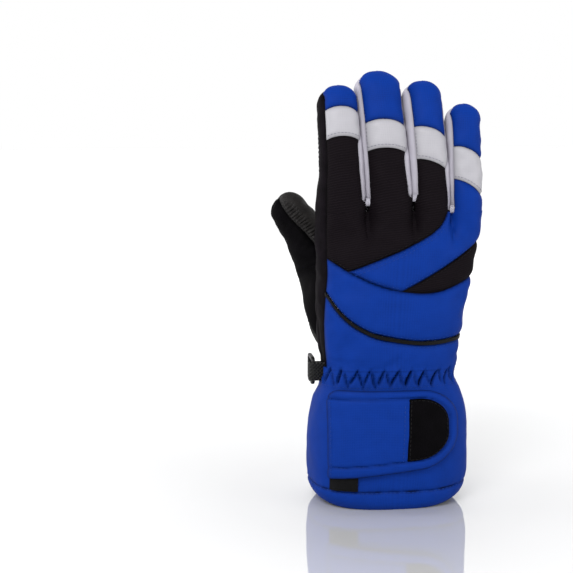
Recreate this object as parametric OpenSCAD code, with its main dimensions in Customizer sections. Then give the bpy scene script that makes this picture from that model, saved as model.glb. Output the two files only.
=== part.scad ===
// Insulated ski glove for the right hand, standing on its cuff.
// +Z runs from the cuff to the fingertips, -Y is the back of the hand,
// +Y the palm, -X the thumb side. The origin is the centre of the cuff's mouth.

/* [Hand] */
// Height of the plane where the fingers join the hand
knuckle_z = 192; // [180:1:200]
// Height of the top of the cuff, where the gathered wrist begins
cuff_top = 74; // [66:1:78]
// Height of the top of the gathered wrist
wrist_top = 89; // [84:1:94]
// Gap between bodies that move against each other
clearance = 0.4; // [0.3:0.1:0.6]

/* [Layers] */
// Thickness of the outer shell fabric
shell_t = 1; // [0.8:0.1:1.2]
// Thickness of the insulation round the hand
insulation_t = 3; // [2:0.5:4]
// Thickness of the insulation in the fingers and the thumb
finger_fill_t = 2; // [1.5:0.25:2.5]
// Thickness of the waterproof insert
membrane_t = 0.5; // [0.4:0.1:0.8]
// Thickness of the brushed liner
liner_t = 1; // [0.8:0.1:1.2]
// Air left between two layers, and between two panels at a seam
ply_gap = 0.25; // [0.2:0.05:0.3]
// Air between the shell and the padding under it
loft = 0.7; // [0.6:0.1:1]

/* [Fingers] */
// How strongly the fingers are pre-curved towards the palm
curl = 0.003; // [0.002:0.0005:0.0035]
// Length of the rounded end of a finger
dome = 12; // [9:1:15]

/* [Flap] */
// Width of the flap from its bottom edge to its top edge
flap_h = 56; // [48:1:58]
// Height of the flap's lower edge at its sewn side
flap_z = 21; // [18:1:24]
// How far the flap's lower edge rises towards its free end
flap_rise = 9.5; // [0:0.5:10]
// Thickness of the padded flap
flap_t = 2.4; // [2:0.1:3]

/* [Clip] */
// Diameter of the clip's round bar
bar_d = 2.6; // [2.2:0.1:3]
// Height of the clip, along its bar
clip_h = 18.4; // [17.6:0.2:20]
// Reach of the clip from its bar
clip_reach = 17; // [15:0.5:20]
// Width of the webbing that holds the clip
webbing_w = 12; // [10:0.5:12.5]

/* [Hidden] */

blue = [0.1, 0.25, 0.65];
black = [0.12, 0.11, 0.12];
leather_black = [0.05, 0.045, 0.05];
white = [0.85, 0.84, 0.88];
grey = [0.45, 0.46, 0.5];

// Offsets of the layers, measured inwards from the outer surface
insulation_out = -shell_t - loft;
insulation_in = insulation_out - insulation_t;
membrane_out = insulation_in - ply_gap;
membrane_in = membrane_out - membrane_t;
liner_out = membrane_in - ply_gap;
liner_in = liner_out - liner_t;
stall_in = insulation_out - finger_fill_t;
stall_liner_out = stall_in - ply_gap;
stall_liner_in = stall_liner_out - liner_t;

// The hand's outline: height, left side, right side, half depth
hand_profile = [
    [0, -41.5, 43, 33], [3, -45, 46, 35], [8, -49, 49.5, 36.3],
    [16, -50.5, 52, 37.2], [42, -51, 53, 38],
    [58, -50, 52.2, 36], [66, -48, 50.6, 34], [74, -44, 47.6, 30],
    [82, -42, 44, 26.5], [89, -41.5, 45, 25.5], [100, -43, 47, 25.5],
    [125, -45, 51, 25], [150, -45.5, 56, 22.5], [175, -46, 60.5, 19],
    [192, -46, 62, 16.5],
];
roundness = 0.74; // power of the sine and cosine in the hand's sections
function profile(z, k) = lookup(z, [for (p = hand_profile) [p[0], p[k]]]);
function left_at(z) = profile(z, 1);
function right_at(z) = profile(z, 2);
function depth_at(z) = profile(z, 3);
function middle_at(z) = (left_at(z) + right_at(z)) / 2;
function half_at(z) = (right_at(z) - left_at(z)) / 2;
function power(v, p) = sign(v) * pow(abs(v), p);
function mix(a, b, t) = a + (b - a) * t;

// A point of the hand: angle 0 is the little-finger side, 90 the palm,
// 180 the thumb side and 270 the back; off moves it out of the surface
function hand_pt(angle, z, off) = [
    middle_at(z) + (half_at(z) + off) * power(cos(angle), roundness),
    (depth_at(z) + off) * power(sin(angle), roundness),
    z
];
// The angle at which the back of the hand has a given x
function angle_of(x, z) =
    let (c = (x - middle_at(z)) / half_at(z))
    360 - acos(power(max(-1, min(1, c)), 1 / roundness));

// Seams of the back run from the thumb-side strip (0) to the far side (1)
strip_w = 4.5; // how far the side strip reaches onto the back
function back_angle(u, z) = angle_of(mix(left_at(z) + strip_w, right_at(z), u), z);
function back_pt(u, z, off) = hand_pt(back_angle(u, z), z, off);
piping_seam = [[0, 137], [0.1, 125], [0.28, 113], [0.47, 108], [0.67, 105.5], [1, 107]];
band_seam = [[0, 160], [0.13, 152.6], [0.32, 144.5], [0.5, 140], [0.74, 139], [1, 147.5]];
triangle_seam = [[0.5, 140], [1, 170.5]];
knuckle_seam = [
    [0, 160], [0.13, 152.6], [0.48, 166], [0.66, 175.5], [0.75, 185], [0.78, 192], [1, 192]
];
band_end = 0.15; // where the diagonal band comes to its point
triangle_end = 0.53; // where the side triangle does
// Columns of a panel are drawn together where it turns round the far side
turn_from = 0.8;
turn_share = 0.92;
function columns(s) =
    s < turn_from ? s / turn_from * turn_share
    : let (r = (1 - s) / (1 - turn_from)) 1 - (1 - turn_share) * r * r;
piping_w = 2; // width of the piping

// A wall between two offsets of a surface f(s, t, off), s and t from 0 to 1
module wall(f, ns, nt, low, high, ring = false, capped = false) {
    cols = ring ? ns : ns + 1;
    rows = nt + 1;
    count = cols * rows;
    points = [
        for (off = [high, low]) for (j = [0:nt]) for (i = [0:cols - 1])
            f(i / ns, j / nt, off)
    ];
    function at(side, i, j) = side * count + j * cols + (i % cols);
    skins = [
        for (side = [0, 1]) for (j = [0:nt - 1]) for (i = [0:ns - 1])
            let (a = at(side, i, j), b = at(side, i + 1, j))
            let (c = at(side, i + 1, j + 1), d = at(side, i, j + 1))
            each side == 0 ? [[a, c, b], [a, d, c]] : [[a, b, c], [a, c, d]]
    ];
    ends = [
        for (i = [0:ns - 1]) each [
            [at(0, i, 0), at(0, i + 1, 0), at(1, i + 1, 0)],
            [at(0, i, 0), at(1, i + 1, 0), at(1, i, 0)],
            if (!capped) [at(0, i, nt), at(1, i + 1, nt), at(0, i + 1, nt)],
            if (!capped) [at(0, i, nt), at(1, i, nt), at(1, i + 1, nt)]
        ]
    ];
    sides = ring ? [] : [
        for (j = [0:nt - 1]) each [
            [at(0, 0, j), at(1, 0, j), at(1, 0, j + 1)],
            [at(0, 0, j), at(1, 0, j + 1), at(0, 0, j + 1)],
            [at(0, ns, j), at(1, ns, j + 1), at(1, ns, j)],
            [at(0, ns, j), at(0, ns, j + 1), at(1, ns, j + 1)]
        ]
    ];
    caps = capped ? [
        for (i = [1:ns - 2]) each [
            [at(0, 0, nt), at(0, i + 1, nt), at(0, i, nt)],
            [at(1, 0, nt), at(1, i, nt), at(1, i + 1, nt)]
        ]
    ] : [];
    polyhedron(points, concat(skins, ends, sides, caps), convexity = 8);
}

// A closed sleeve of the hand's outline
module sleeve(z0, z1, rows, low, high) {
    wall(function(s, t, off) hand_pt(s * 360, mix(z0, z1, t), off), 36, rows, low, high, ring = true);
}

// A panel of the back between two seams
module back_panel(u0, u1, low_seam, high_seam, cols, rows) {
    wall(
        function(s, t, off)
            let (u = mix(u0, u1, columns(s)))
            let (z0 = lookup(u, low_seam) + ply_gap / 2, z1 = lookup(u, high_seam) - ply_gap / 2)
            back_pt(u, mix(z0, max(z1, z0 + 0.1), t), off),
        cols, rows, -shell_t, 0
    );
}

// A panel of the palm or of a side between two angles
module side_panel(a0, a1, z0, z1, cols, rows, low = -shell_t, high = 0) {
    wall(
        function(s, t, off)
            let (z = mix(z0(s), z1(s), t))
            hand_pt(mix(a0(z), a1(z), s), z, off),
        cols, rows, low, high
    );
}
strip_front = function(z) back_angle(0, z) - 0.4;
strip_back = function(z) 152;
flat_low = function(s) wrist_top + ply_gap / 2;
flat_high = function(s) knuckle_z;
palm_seam = function(s) mix(160, 173, s);

// Cuff
hem_h = 12; // height of the folded hem
hem_t = 1.6; // thickness of the folded hem
module cuff_hem() {
    color(blue) wall(
        function(s, t, off) hand_pt(s * 360, mix(0, hem_h, t), off),
        36, 4, -hem_t, 0.3, ring = true
    );
}
module cuff_shell() {
    color(blue) sleeve(hem_h + ply_gap, cuff_top - ply_gap, 5, -shell_t, 0);
}
module cuff_lining() {
    color(black) sleeve(1, cuff_top - ply_gap, 5, -hem_t - ply_gap - 1.4, -hem_t - ply_gap);
}
tape_x = [-36.8, -22.5]; // the loop tape's two sides
tape_z = [13, 72]; // the loop tape's lower and upper edge
module cuff_loop_tape() {
    color(black) wall(
        function(s, t, off)
            let (z = mix(tape_z[0], tape_z[1], t))
            hand_pt(mix(angle_of(tape_x[0], z), angle_of(tape_x[1], z), s), z, off),
        4, 6, 0.35, 1.1
    );
}

// Wrist
module gathered_wrist() {
    color(blue) sleeve(cuff_top, wrist_top, 4, -shell_t, 0);
}
module wrist_elastic() {
    color(white) sleeve(cuff_top + 3, wrist_top - 2, 2, -3.5, -shell_t - loft);
}

// Back of the hand
module lower_back_panel() {
    color(blue) back_panel(0, 1, [[0, wrist_top], [1, wrist_top]], piping_seam, 20, 3);
}
module back_piping() {
    color(black) back_panel(
        0, 1, piping_seam, [for (p = piping_seam) [p[0], p[1] + piping_w]], 20, 1
    );
}
module mid_back_panel() {
    color(blue) back_panel(0, 1, [for (p = piping_seam) [p[0], p[1] + piping_w]], band_seam, 20, 3);
}
module diagonal_band() {
    color(blue) wall(
        function(s, t, off)
            let (u = mix(band_end, 1, columns(s)))
            let (z0 = u < triangle_seam[0][0] ? lookup(u, band_seam) : lookup(u, triangle_seam))
            let (z1 = lookup(u, knuckle_seam))
            back_pt(u, mix(z0 + ply_gap / 2, max(z1 - ply_gap / 2, z0 + 0.5), t), off),
        18, 3, -shell_t, 0
    );
}
module side_triangle() {
    color(black) back_panel(triangle_end, 1, band_seam, triangle_seam, 9, 3);
}
module knuckle_panel() {
    color(black) back_panel(0, 0.77, knuckle_seam, [[0, knuckle_z], [1, knuckle_z]], 16, 3);
}
module thumb_side_strip() {
    color(leather_black) side_panel(strip_front, strip_back, flat_low, flat_high, 4, 8);
}
module little_side_strip() {
    color(leather_black) side_panel(
        function(z) 10, function(z) 0.4, flat_low, flat_high, 2, 8
    );
}

// Palm
thumb_hole_d = 26; // opening of the hand into the thumb
thumb_root_a = 138; // where the thumb leaves the hand, as an angle
thumb_root_z = 125; // and as a height
module thumb_hole() {
    translate(hand_pt(thumb_root_a, thumb_root_z, 0))
        rotate([0, 90, thumb_root_a])
            cylinder(h = 26, d = thumb_hole_d, center = true, $fn = 48);
}
module palm_panel() {
    color(black) difference() {
        side_panel(
            function(z) 10.4, function(z) 151.6,
            flat_low, function(s) palm_seam(s) - ply_gap / 2, 14, 6
        );
        thumb_hole();
    }
}
module palm_reinforcement() {
    color(leather_black) side_panel(
        function(z) 10.4, function(z) 151.6,
        function(s) palm_seam(s) + ply_gap / 2, flat_high, 14, 3
    );
}

// Layers inside the hand
module hand_insulation() {
    color(white) difference() {
        sleeve(wrist_top + 1, knuckle_z, 10, insulation_in, insulation_out);
        thumb_hole();
    }
}
module hand_membrane() {
    color(grey) difference() {
        sleeve(cuff_top, knuckle_z, 12, membrane_in, membrane_out);
        thumb_hole();
    }
}
module hand_liner() {
    color(grey) difference() {
        sleeve(cuff_top, knuckle_z, 12, liner_in, liner_out);
        thumb_hole();
    }
}

// Fingers: centre at the base, centre at the tip, height of the tip,
// half width at the base, half width at the tip, half depth, white band
index_f = [-29.9, -32, 268, 14.3, 13, 14, [234, 252]];
middle_f = [0.7, -5.2, 277, 14.5, 14.8, 14, [227, 244]];
ring_f = [28.2, 23.5, 271, 11.8, 13, 13.5, [219, 239]];
little_f = [51.4, 50, 257, 10.2, 10.8, 12.5, [206, 227]];
finger_base = knuckle_z + clearance;
finger_power = 0.82; // roundness of a finger's section

function finger_pt(f, angle, z, off) =
    let (top = f[2] + off, t = (z - finger_base) / (f[2] - finger_base))
    let (d = max(0, z - (top - dome)) / dome, k = sqrt(max(0, 1 - d * d)))
    let (rise = z - finger_base, tilt = atan(2 * curl * rise))
    let (wide = max(0.5, (mix(f[3], f[4], t) + off) * k))
    let (deep = max(0.5, (f[5] + off) * k))
    let (c = power(cos(angle), finger_power), s = power(sin(angle), finger_power))
    [
        mix(f[0], f[1], t) + wide * c,
        curl * rise * rise + deep * s * cos(tilt),
        z - deep * s * sin(tilt)
    ];
// Heights at which the end of a finger, off below its surface, has its rings
function tip_z(f, off, t) = f[2] + off - dome + dome * sin(t * 76);

// A piece of a finger's skin between two angles and two heights
module skin(f, a0, a1, z0, z1, cols, rows) {
    wall(
        function(s, t, off) finger_pt(f, mix(a0, a1, s), mix(z0, z1, t), off),
        cols, rows, -shell_t, 0
    );
}
// The same up to the fingertip, with the rings drawn together in the dome
module skin_to_tip(f, a0, a1, z0, cols, rows) {
    wall(
        function(s, t, off)
            let (bend = f[2] - dome, split = 0.5)
            let (z = t < split ? mix(z0, bend + off, t / split)
                : tip_z(f, off, (t - split) / (1 - split)))
            finger_pt(f, mix(a0, a1, s), z, off),
        cols, rows, -shell_t, 0
    );
}
// A closed stall of one layer of a finger
module stall(f, low, high) {
    wall(
        function(s, t, off)
            let (bend = f[2] - dome, split = 0.6)
            let (z = t < split ? mix(finger_base, bend + off, t / split)
                : tip_z(f, off, (t - split) / (1 - split)))
            finger_pt(f, s * 360, z, off),
        18, 8, low, high, ring = true, capped = true
    );
}
seam_deg = 0.8; // angle left open at a seam along a finger
back_from = 205;
back_to = 335;
palm_from = 22;
palm_to = 158;
module finger_back(f) {
    skin(f, back_from, back_to, finger_base, f[6][0] - ply_gap / 2, 6, 4);
}
module finger_band(f) {
    skin(f, back_from, back_to, f[6][0] + ply_gap / 2, f[6][1] - ply_gap / 2, 6, 2);
}
module finger_tip(f) {
    skin_to_tip(f, back_from, back_to, f[6][1] + ply_gap / 2, 6, 6);
}
module finger_palm(f) {
    skin_to_tip(f, palm_from, palm_to, finger_base, 6, 10);
}
// The strip on the little-finger side of a finger
module far_strip(f) {
    skin_to_tip(f, back_to + seam_deg - 360, palm_from - seam_deg, finger_base, 2, 8);
}
// The strip on its thumb side
module near_strip(f) {
    skin_to_tip(f, palm_to + seam_deg, back_from - seam_deg, finger_base, 2, 8);
}

module index_tip_panel() { color(blue) finger_tip(index_f); }
module index_white_band() { color(white) finger_band(index_f); }
module index_back_panel() { color(black) finger_back(index_f); }
module index_fourchette() { color(white) far_strip(index_f); }
module index_side_strip() { color(leather_black) near_strip(index_f); }
module index_palm_panel() { color(leather_black) finger_palm(index_f); }
module index_insulation() { color(white) stall(index_f, stall_in, insulation_out); }
module index_liner() { color(grey) stall(index_f, stall_liner_in, stall_liner_out); }

module middle_tip_panel() { color(blue) finger_tip(middle_f); }
module middle_white_band() { color(white) finger_band(middle_f); }
module middle_back_panel() { color(black) finger_back(middle_f); }
module middle_fourchettes() { color(white) { far_strip(middle_f); near_strip(middle_f); } }
module middle_palm_panel() { color(leather_black) finger_palm(middle_f); }
module middle_insulation() { color(white) stall(middle_f, stall_in, insulation_out); }
module middle_liner() { color(grey) stall(middle_f, stall_liner_in, stall_liner_out); }

module ring_tip_panel() { color(blue) finger_tip(ring_f); }
module ring_white_band() { color(white) finger_band(ring_f); }
module ring_back_panel() { color(black) finger_back(ring_f); }
module ring_fourchettes() { color(white) { far_strip(ring_f); near_strip(ring_f); } }
module ring_palm_panel() { color(leather_black) finger_palm(ring_f); }
module ring_insulation() { color(white) stall(ring_f, stall_in, insulation_out); }
module ring_liner() { color(grey) stall(ring_f, stall_liner_in, stall_liner_out); }

module little_tip_panel() { color(blue) finger_tip(little_f); }
module little_white_band() { color(white) finger_band(little_f); }
module little_back_panel() { color(blue) finger_back(little_f); }
module little_fourchette() { color(white) near_strip(little_f); }
module little_outer_strip() { color(leather_black) far_strip(little_f); }
module little_palm_panel() { color(leather_black) finger_palm(little_f); }
module little_insulation() { color(white) stall(little_f, stall_in, insulation_out); }
module little_liner() { color(grey) stall(little_f, stall_liner_in, stall_liner_out); }

// Thumb: centre x, y, z and radius of each ring above its root on the palm
thumb_rings = [[-36, 31, 142, 15], [-38.5, 34, 156, 15], [-45, 37, 174, 14.5], [-53, 39, 190, 14]];
thumb_dome = 4; // rings in the rounded end
thumb_half_a = 23; // half the root's reach round the hand, as an angle
thumb_half_z = 24; // half the root's height
thumb_side = [0.9, 0.1, 0.3]; // towards the palm's middle, across the thumb
thumb_last = len(thumb_rings) - 1;
thumb_rows = len(thumb_rings) + thumb_dome;
function unit(v) = v / norm(v);
function ring_centre(i) = [thumb_rings[i][0], thumb_rings[i][1], thumb_rings[i][2]];
function ring_axis(i) =
    i == 0 ? unit([-0.05, 0.5, 0.85])
    : unit(ring_centre(i) - ring_centre(i - 1));
// A point of ring i: the root is 0, then the rings of the table, then the dome
function thumb_pt(angle, i, off) =
    i < 1 ? (
        let (ka = 1 + off / 16, kz = 1 + off / thumb_half_z)
        hand_pt(
            thumb_root_a - thumb_half_a * ka * cos(angle),
            thumb_root_z - thumb_half_z * kz * sin(angle),
            clearance
        )
    ) : (
        let (k = min(i - 1, thumb_last), bend = max(0, i - 1 - thumb_last) * 76 / thumb_dome)
        let (a = ring_axis(k), x = unit(thumb_side - (thumb_side * a) * a), y = cross(a, x))
        let (r = thumb_rings[k][3] + off)
        ring_centre(k) + r * sin(bend) * a
            + r * cos(bend) * (cos(angle) * x + sin(angle) * y)
    );
module thumb_stall(low, high) {
    wall(
        function(s, t, off) thumb_pt(s * 360, round(t * thumb_rows), off),
        20, thumb_rows, low, high, ring = true, capped = true
    );
}
module thumb_skin(a0, a1, cols) {
    wall(
        function(s, t, off) thumb_pt(mix(a0, a1, s), round(t * thumb_rows), off),
        cols, thumb_rows, -shell_t, 0
    );
}
thumb_seam = [140, 290]; // the back panel's two seams, as angles
module thumb_back_panel() { color(leather_black) thumb_skin(thumb_seam[0], thumb_seam[1], 12); }
module thumb_palm_panel() {
    color(black) thumb_skin(thumb_seam[1] + seam_deg, thumb_seam[0] + 360 - seam_deg, 12);
}
module thumb_insulation() { color(white) thumb_stall(stall_in, insulation_out); }
module thumb_liner() { color(grey) thumb_stall(stall_liner_in, stall_liner_out); }

// Flap: a padded strap sewn to the cuff on the thumb side, free at its round end
flap_in = 1.5; // gap between the cuff and the flap
flap_left = -38.4; // x of the sewn edge
flap_right = 37.8; // x of the free end
flap_round = 24; // radius of the free end
flap_out = flap_in + flap_t;
function flap_low(x) = flap_z + flap_rise * (x - flap_left) / (flap_right - flap_left);
// How much of its full height the flap has at x
function flap_share(x) =
    let (d = max(0, x - (flap_right - flap_round)) / flap_round)
    sqrt(max(0.02, 1 - d * d * 0.96));
function flap_pt(x, t, off) =
    let (half = (flap_z + flap_h - flap_low(x)) / 2)
    let (z = flap_low(x) + half * (1 + mix(-1, 1, t) * flap_share(x)))
    hand_pt(angle_of(x, 42), min(z, cuff_top + 3), off);
module flap_part(x0, x1, cols, rows, low, high, inset = 0) {
    wall(
        function(s, t, off)
            let (edge = inset / flap_h)
            flap_pt(mix(x0, x1, s), mix(edge, 1 - edge, t), off),
        cols, rows, low, high
    );
}
module wrist_flap() {
    color(blue) flap_part(flap_left, flap_right, 18, 6, flap_in, flap_out);
}
module flap_grip_patch() {
    color(black) flap_part(8, 31.5, 8, 6, flap_out + 0.35, flap_out + 1.1, 6);
}
module flap_hook_tape() {
    color(black) flap_part(-20, 20, 8, 4, 0.4, flap_in - 0.35, 10);
}

// Clip: it hangs by its bar from a fold of webbing on the thumb side
bar_x = -48.4;
bar_y = -3;
clip_z = 85.8; // middle of the clip
web_t = 1.3; // thickness of the webbing
web_bore = bar_d / 2 + 0.3; // radius of the fold that the bar turns in
module clip_webbing() {
    color(black) translate([bar_x, bar_y, clip_z - webbing_w / 2])
        linear_extrude(webbing_w)
            difference() {
                union() {
                    circle(r = web_bore + web_t, $fn = 48);
                    translate([0, -web_bore - web_t + 0.4])
                        square([-41.4 - bar_x - ply_gap - 1.2, 2 * web_bore + 2 * web_t - 0.8]);
                }
                circle(r = web_bore, $fn = 48);
            }
}
arm_z = clip_h / 2 - bar_d / 2; // the arms above and below the webbing
mouth = 4.6; // gap in the lower arm where another clip goes in
module arm(from, length, z) {
    translate([0, from, z]) rotate([-90, 0, 0]) cylinder(h = length, d = bar_d, $fn = 32);
}
module post(y, z0, z1) {
    translate([0, y, z0]) cylinder(h = z1 - z0, d = bar_d, $fn = 32);
}
module clip_frame() {
    color(black) translate([bar_x, bar_y, clip_z]) {
        post(0, -arm_z, arm_z);
        post(clip_reach, -arm_z, arm_z);
        arm(0, clip_reach, arm_z);
        arm(0, 5, -arm_z);
        arm(5 + mouth, clip_reach - 5 - mouth, -arm_z);
        for (y = [0, clip_reach], z = [-arm_z, arm_z])
            translate([0, y, z]) sphere(d = bar_d, $fn = 32);
    }
}
// Gate: a sprung tongue from beside the far post down towards the bar
gate_root_z = 2.4; // height of the gate's root above the clip's middle
gate_root_y = clip_reach - bar_d / 2 - 0.8;
gate_len = 11.2; // length of the gate
gate_drop = 24; // how far the gate points down, in degrees
gate_t = 1.8; // thickness of the gate
module clip_gate() {
    color(black) translate([bar_x, bar_y + gate_root_y, clip_z + gate_root_z])
        rotate([gate_drop, 0, 0])
            translate([-bar_d / 2, -gate_len, -gate_t / 2])
                cube([bar_d, gate_len, gate_t]);
}

cuff_shell();
cuff_hem();
cuff_lining();
cuff_loop_tape();
gathered_wrist();
wrist_elastic();
lower_back_panel();
back_piping();
mid_back_panel();
diagonal_band();
side_triangle();
knuckle_panel();
thumb_side_strip();
little_side_strip();
palm_panel();
palm_reinforcement();
hand_insulation();
hand_membrane();
hand_liner();
index_tip_panel();
index_white_band();
index_back_panel();
index_fourchette();
index_side_strip();
index_palm_panel();
index_insulation();
index_liner();
middle_tip_panel();
middle_white_band();
middle_back_panel();
middle_fourchettes();
middle_palm_panel();
middle_insulation();
middle_liner();
ring_tip_panel();
ring_white_band();
ring_back_panel();
ring_fourchettes();
ring_palm_panel();
ring_insulation();
ring_liner();
little_tip_panel();
little_white_band();
little_back_panel();
little_fourchette();
little_outer_strip();
little_palm_panel();
little_insulation();
little_liner();
thumb_back_panel();
thumb_palm_panel();
thumb_insulation();
thumb_liner();
wrist_flap();
flap_grip_patch();
flap_hook_tape();
clip_webbing();
clip_frame();
clip_gate();
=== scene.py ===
"""Looks of the insulated ski glove: sewn panels, gathers, flap, stitching and clip around the CAD frame."""

import math

import bpy
import numpy as np
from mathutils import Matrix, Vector, noise


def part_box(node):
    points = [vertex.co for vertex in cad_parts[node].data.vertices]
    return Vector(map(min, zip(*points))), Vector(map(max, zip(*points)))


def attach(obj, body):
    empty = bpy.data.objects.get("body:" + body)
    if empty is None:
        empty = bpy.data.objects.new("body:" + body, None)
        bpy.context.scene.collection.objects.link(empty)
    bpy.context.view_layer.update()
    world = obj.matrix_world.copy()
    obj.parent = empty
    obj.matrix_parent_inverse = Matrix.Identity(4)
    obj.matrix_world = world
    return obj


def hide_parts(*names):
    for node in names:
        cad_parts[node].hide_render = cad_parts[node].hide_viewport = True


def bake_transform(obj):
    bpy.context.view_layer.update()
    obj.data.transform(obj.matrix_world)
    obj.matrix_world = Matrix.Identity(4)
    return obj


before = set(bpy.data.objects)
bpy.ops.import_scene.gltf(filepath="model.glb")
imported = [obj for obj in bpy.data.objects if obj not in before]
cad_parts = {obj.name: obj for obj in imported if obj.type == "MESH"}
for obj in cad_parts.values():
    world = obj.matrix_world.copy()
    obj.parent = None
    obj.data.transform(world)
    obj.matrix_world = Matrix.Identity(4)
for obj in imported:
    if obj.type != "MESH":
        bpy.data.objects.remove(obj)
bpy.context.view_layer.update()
MM = 0.001


def low(node):
    return [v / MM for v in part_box(node)[0]]


def high(node):
    return [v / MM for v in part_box(node)[1]]


# ---------------------------------------------------------------- the glove's form, in millimetres

KNUCKLE_Z = high("hand_insulation")[2]
CUFF_TOP = low("gathered_wrist")[2]
WRIST_TOP = high("gathered_wrist")[2]
HEM_TOP = high("cuff_hem")[2]
JOIN_Z = KNUCKLE_Z - 2  # where the fingers' cloth starts
BEND_END = KNUCKLE_Z + 20  # upper height in a finger's body pair
CURL = 0.003  # how much the fingers curve towards the palm
DOME = 12  # height of a finger's round end

# The hand's outline: height, left side, right side, half depth
HAND_PROFILE = np.array([
    [0, -41.5, 43.8, 33], [3, -45, 47.3, 35], [8, -49, 51, 36.3],
    [16, -50.2, 53, 37.2], [42, -50.6, 53.3, 38],
    [58, -49.6, 52.6, 36], [66, -47.4, 51.2, 34], [74, -43.4, 48.4, 30],
    [82, -42, 44, 26.5], [89, -41.5, 45, 25.5], [100, -43, 47, 25.5],
    [125, -45, 51, 25], [150, -45.5, 56, 22.5], [175, -46, 60.5, 19],
    [192, -46, 62, 16.5],
], float)
# Power of the sine and cosine in a section: 1 gives an ellipse, less a squarer oval
ROUNDNESS = 0.74
FINGER_ROUNDNESS = 0.82
ROOT_EXTRA = 2.0  # a finger is this much deeper at its root than along it
VALLEY = 7.0  # half depth of the hand between two fingers' roots
CREASES = 50  # creases of the gathered wrist, an even number
GATHER_Z = (CUFF_TOP + WRIST_TOP) / 2 + 2.5  # the height of their middle

# Base centre, tip centre, top, half width at base and tip, half depth, white band and its slant,
# the depths of the seams beside the back panel, on the thumb side and on the far side,
# and the height of the crotch on each side (0 where there is none)
FINGERS = {
    "index": dict(x0=-29.2, x1=-31, top=268, w0=14.3, w1=12.7, deep=14, band=(234.5, 252), slant=0.02,
                  near=-10, far=-10.6, crotches=(0, 196)),
    "middle": dict(x0=1.2, x1=-4.7, top=277, w0=14.5, w1=14.8, deep=14, band=(227.5, 244.3), slant=-0.03,
                   near=-8.6, far=-10.8, crotches=(196, 198.5)),
    "ring": dict(x0=28.9, x1=24.3, top=271, w0=11.8, w1=13, deep=13.5, band=(219.5, 239.5), slant=-0.3,
                 near=-10.1, far=-10.6, crotches=(198.5, 190)),
    "little": dict(x0=51.4, x1=51, top=257, w0=10.2, w1=11.2, deep=12.5, band=(206, 227), slant=-0.5,
                   near=-8.4, far=-3, crotches=(190, 0)),
}


def smooth_curve(table):
    """A smooth function through [position, value] points."""
    x, y = np.array(table, float).T
    slope = np.gradient(y, x)

    def value(at):
        at = np.clip(at, x[0], x[-1])
        i = np.clip(np.searchsorted(x, at) - 1, 0, len(x) - 2)
        h = x[i + 1] - x[i]
        t = (at - x[i]) / h
        return (
            y[i] * (1 + 2 * t) * (1 - t) ** 2
            + slope[i] * h * t * (1 - t) ** 2
            + y[i + 1] * t * t * (3 - 2 * t)
            + slope[i + 1] * h * t * t * (t - 1)
        )

    return value


left_at, right_at, depth_at = (smooth_curve(HAND_PROFILE[:, [0, k]]) for k in (1, 2, 3))


def middle_and_half(z):
    """x of the hand's middle and its half width, at a height."""
    left, right = left_at(z), right_at(z)
    return (left + right) / 2, (right - left) / 2


def smoothstep(v, lo=0.0, hi=1.0):
    t = np.clip((v - lo) / (hi - lo), 0, 1)
    return t * t * (3 - 2 * t)


def mix(a, b, t):
    return a + (b - a) * t


def signed_power(v, p):
    return np.sign(v) * np.abs(v) ** p


def unit(v):
    """Vectors brought to length 1."""
    return v / np.maximum(np.linalg.norm(v, axis=-1, keepdims=True), 1e-9)


def grain(points, size, seed=0.0):
    """Smooth noise from -1 to 1 over points, with features of about the given size in mm."""
    scaled = points / np.broadcast_to(np.asarray(size, float), 3) + seed
    return np.array([noise.noise(Vector(p)) for p in scaled])


def even_angles(power, wide, deep, count, start):
    """Angles that divide a squarish oval's outline into equal lengths, and its length."""
    fine = np.linspace(0, 360, 7201)
    a = np.radians(fine)
    x, y = wide * signed_power(np.cos(a), power), deep * signed_power(np.sin(a), power)
    run = np.concatenate([[0], np.cumsum(np.hypot(np.diff(x), np.diff(y)))])
    wanted = (np.interp(start, fine, run) + np.linspace(0, run[-1], count + 1)) % run[-1]
    found = np.interp(wanted, run, fine)
    found[0] = start
    found = np.where(found < start - 1e-6, found + 360, found)
    found[-1] = start + 360
    return found, run[-1]


# ---------------------------------------------------------------- surfaces

def grid_points(a, b):
    """Every pair of two parameters' values, row by row."""
    return np.stack([values.ravel() for values in np.meshgrid(a, b)], 1)


def grid_faces(columns, rows):
    """The faces between a grid's points, row by row."""
    return [
        (j * columns + i, j * columns + i + 1, (j + 1) * columns + i + 1, (j + 1) * columns + i)
        for j in range(rows - 1) for i in range(columns - 1)
    ]


class Surface:
    """A surface over two parameters, a and b, with the grid that its panels are cut from."""

    step = (0.05, 0.05)
    folds = None  # what the cloth simulation adds, as a grid over a and b

    def grid(self):
        a, b = self.a_values, self.b_values
        return grid_points(a, b), grid_faces(len(a), len(b))

    def relief(self, q, p):
        return np.zeros(len(q))

    def normals(self, q):
        sa, sb = self.step
        da = self.at(q + [sa, 0]) - self.at(q - [sa, 0])
        db = self.at(q + [0, sb]) - self.at(q - [0, sb])
        return unit(np.cross(da, db))

    def flat(self, q):
        """Where a point is on the flat cloth, in metres, for the weave."""
        return q * MM

    def creases(self, q):
        """How much a place is shaded by the creases round it, from 0 to 1."""
        return np.zeros(len(q))

    def simulated(self, q):
        if self.folds is None:
            return 0.0
        i = np.interp(q[:, 0], self.a_values, np.arange(len(self.a_values)))
        j = np.interp(q[:, 1], self.b_values, np.arange(len(self.b_values)))
        i0 = np.clip(i.astype(int), 0, len(self.a_values) - 2)
        j0 = np.clip(j.astype(int), 0, len(self.b_values) - 2)
        u, v, f = i - i0, j - j0, self.folds
        return mix(mix(f[j0, i0], f[j0, i0 + 1], u), mix(f[j0 + 1, i0], f[j0 + 1, i0 + 1], u), v)


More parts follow.
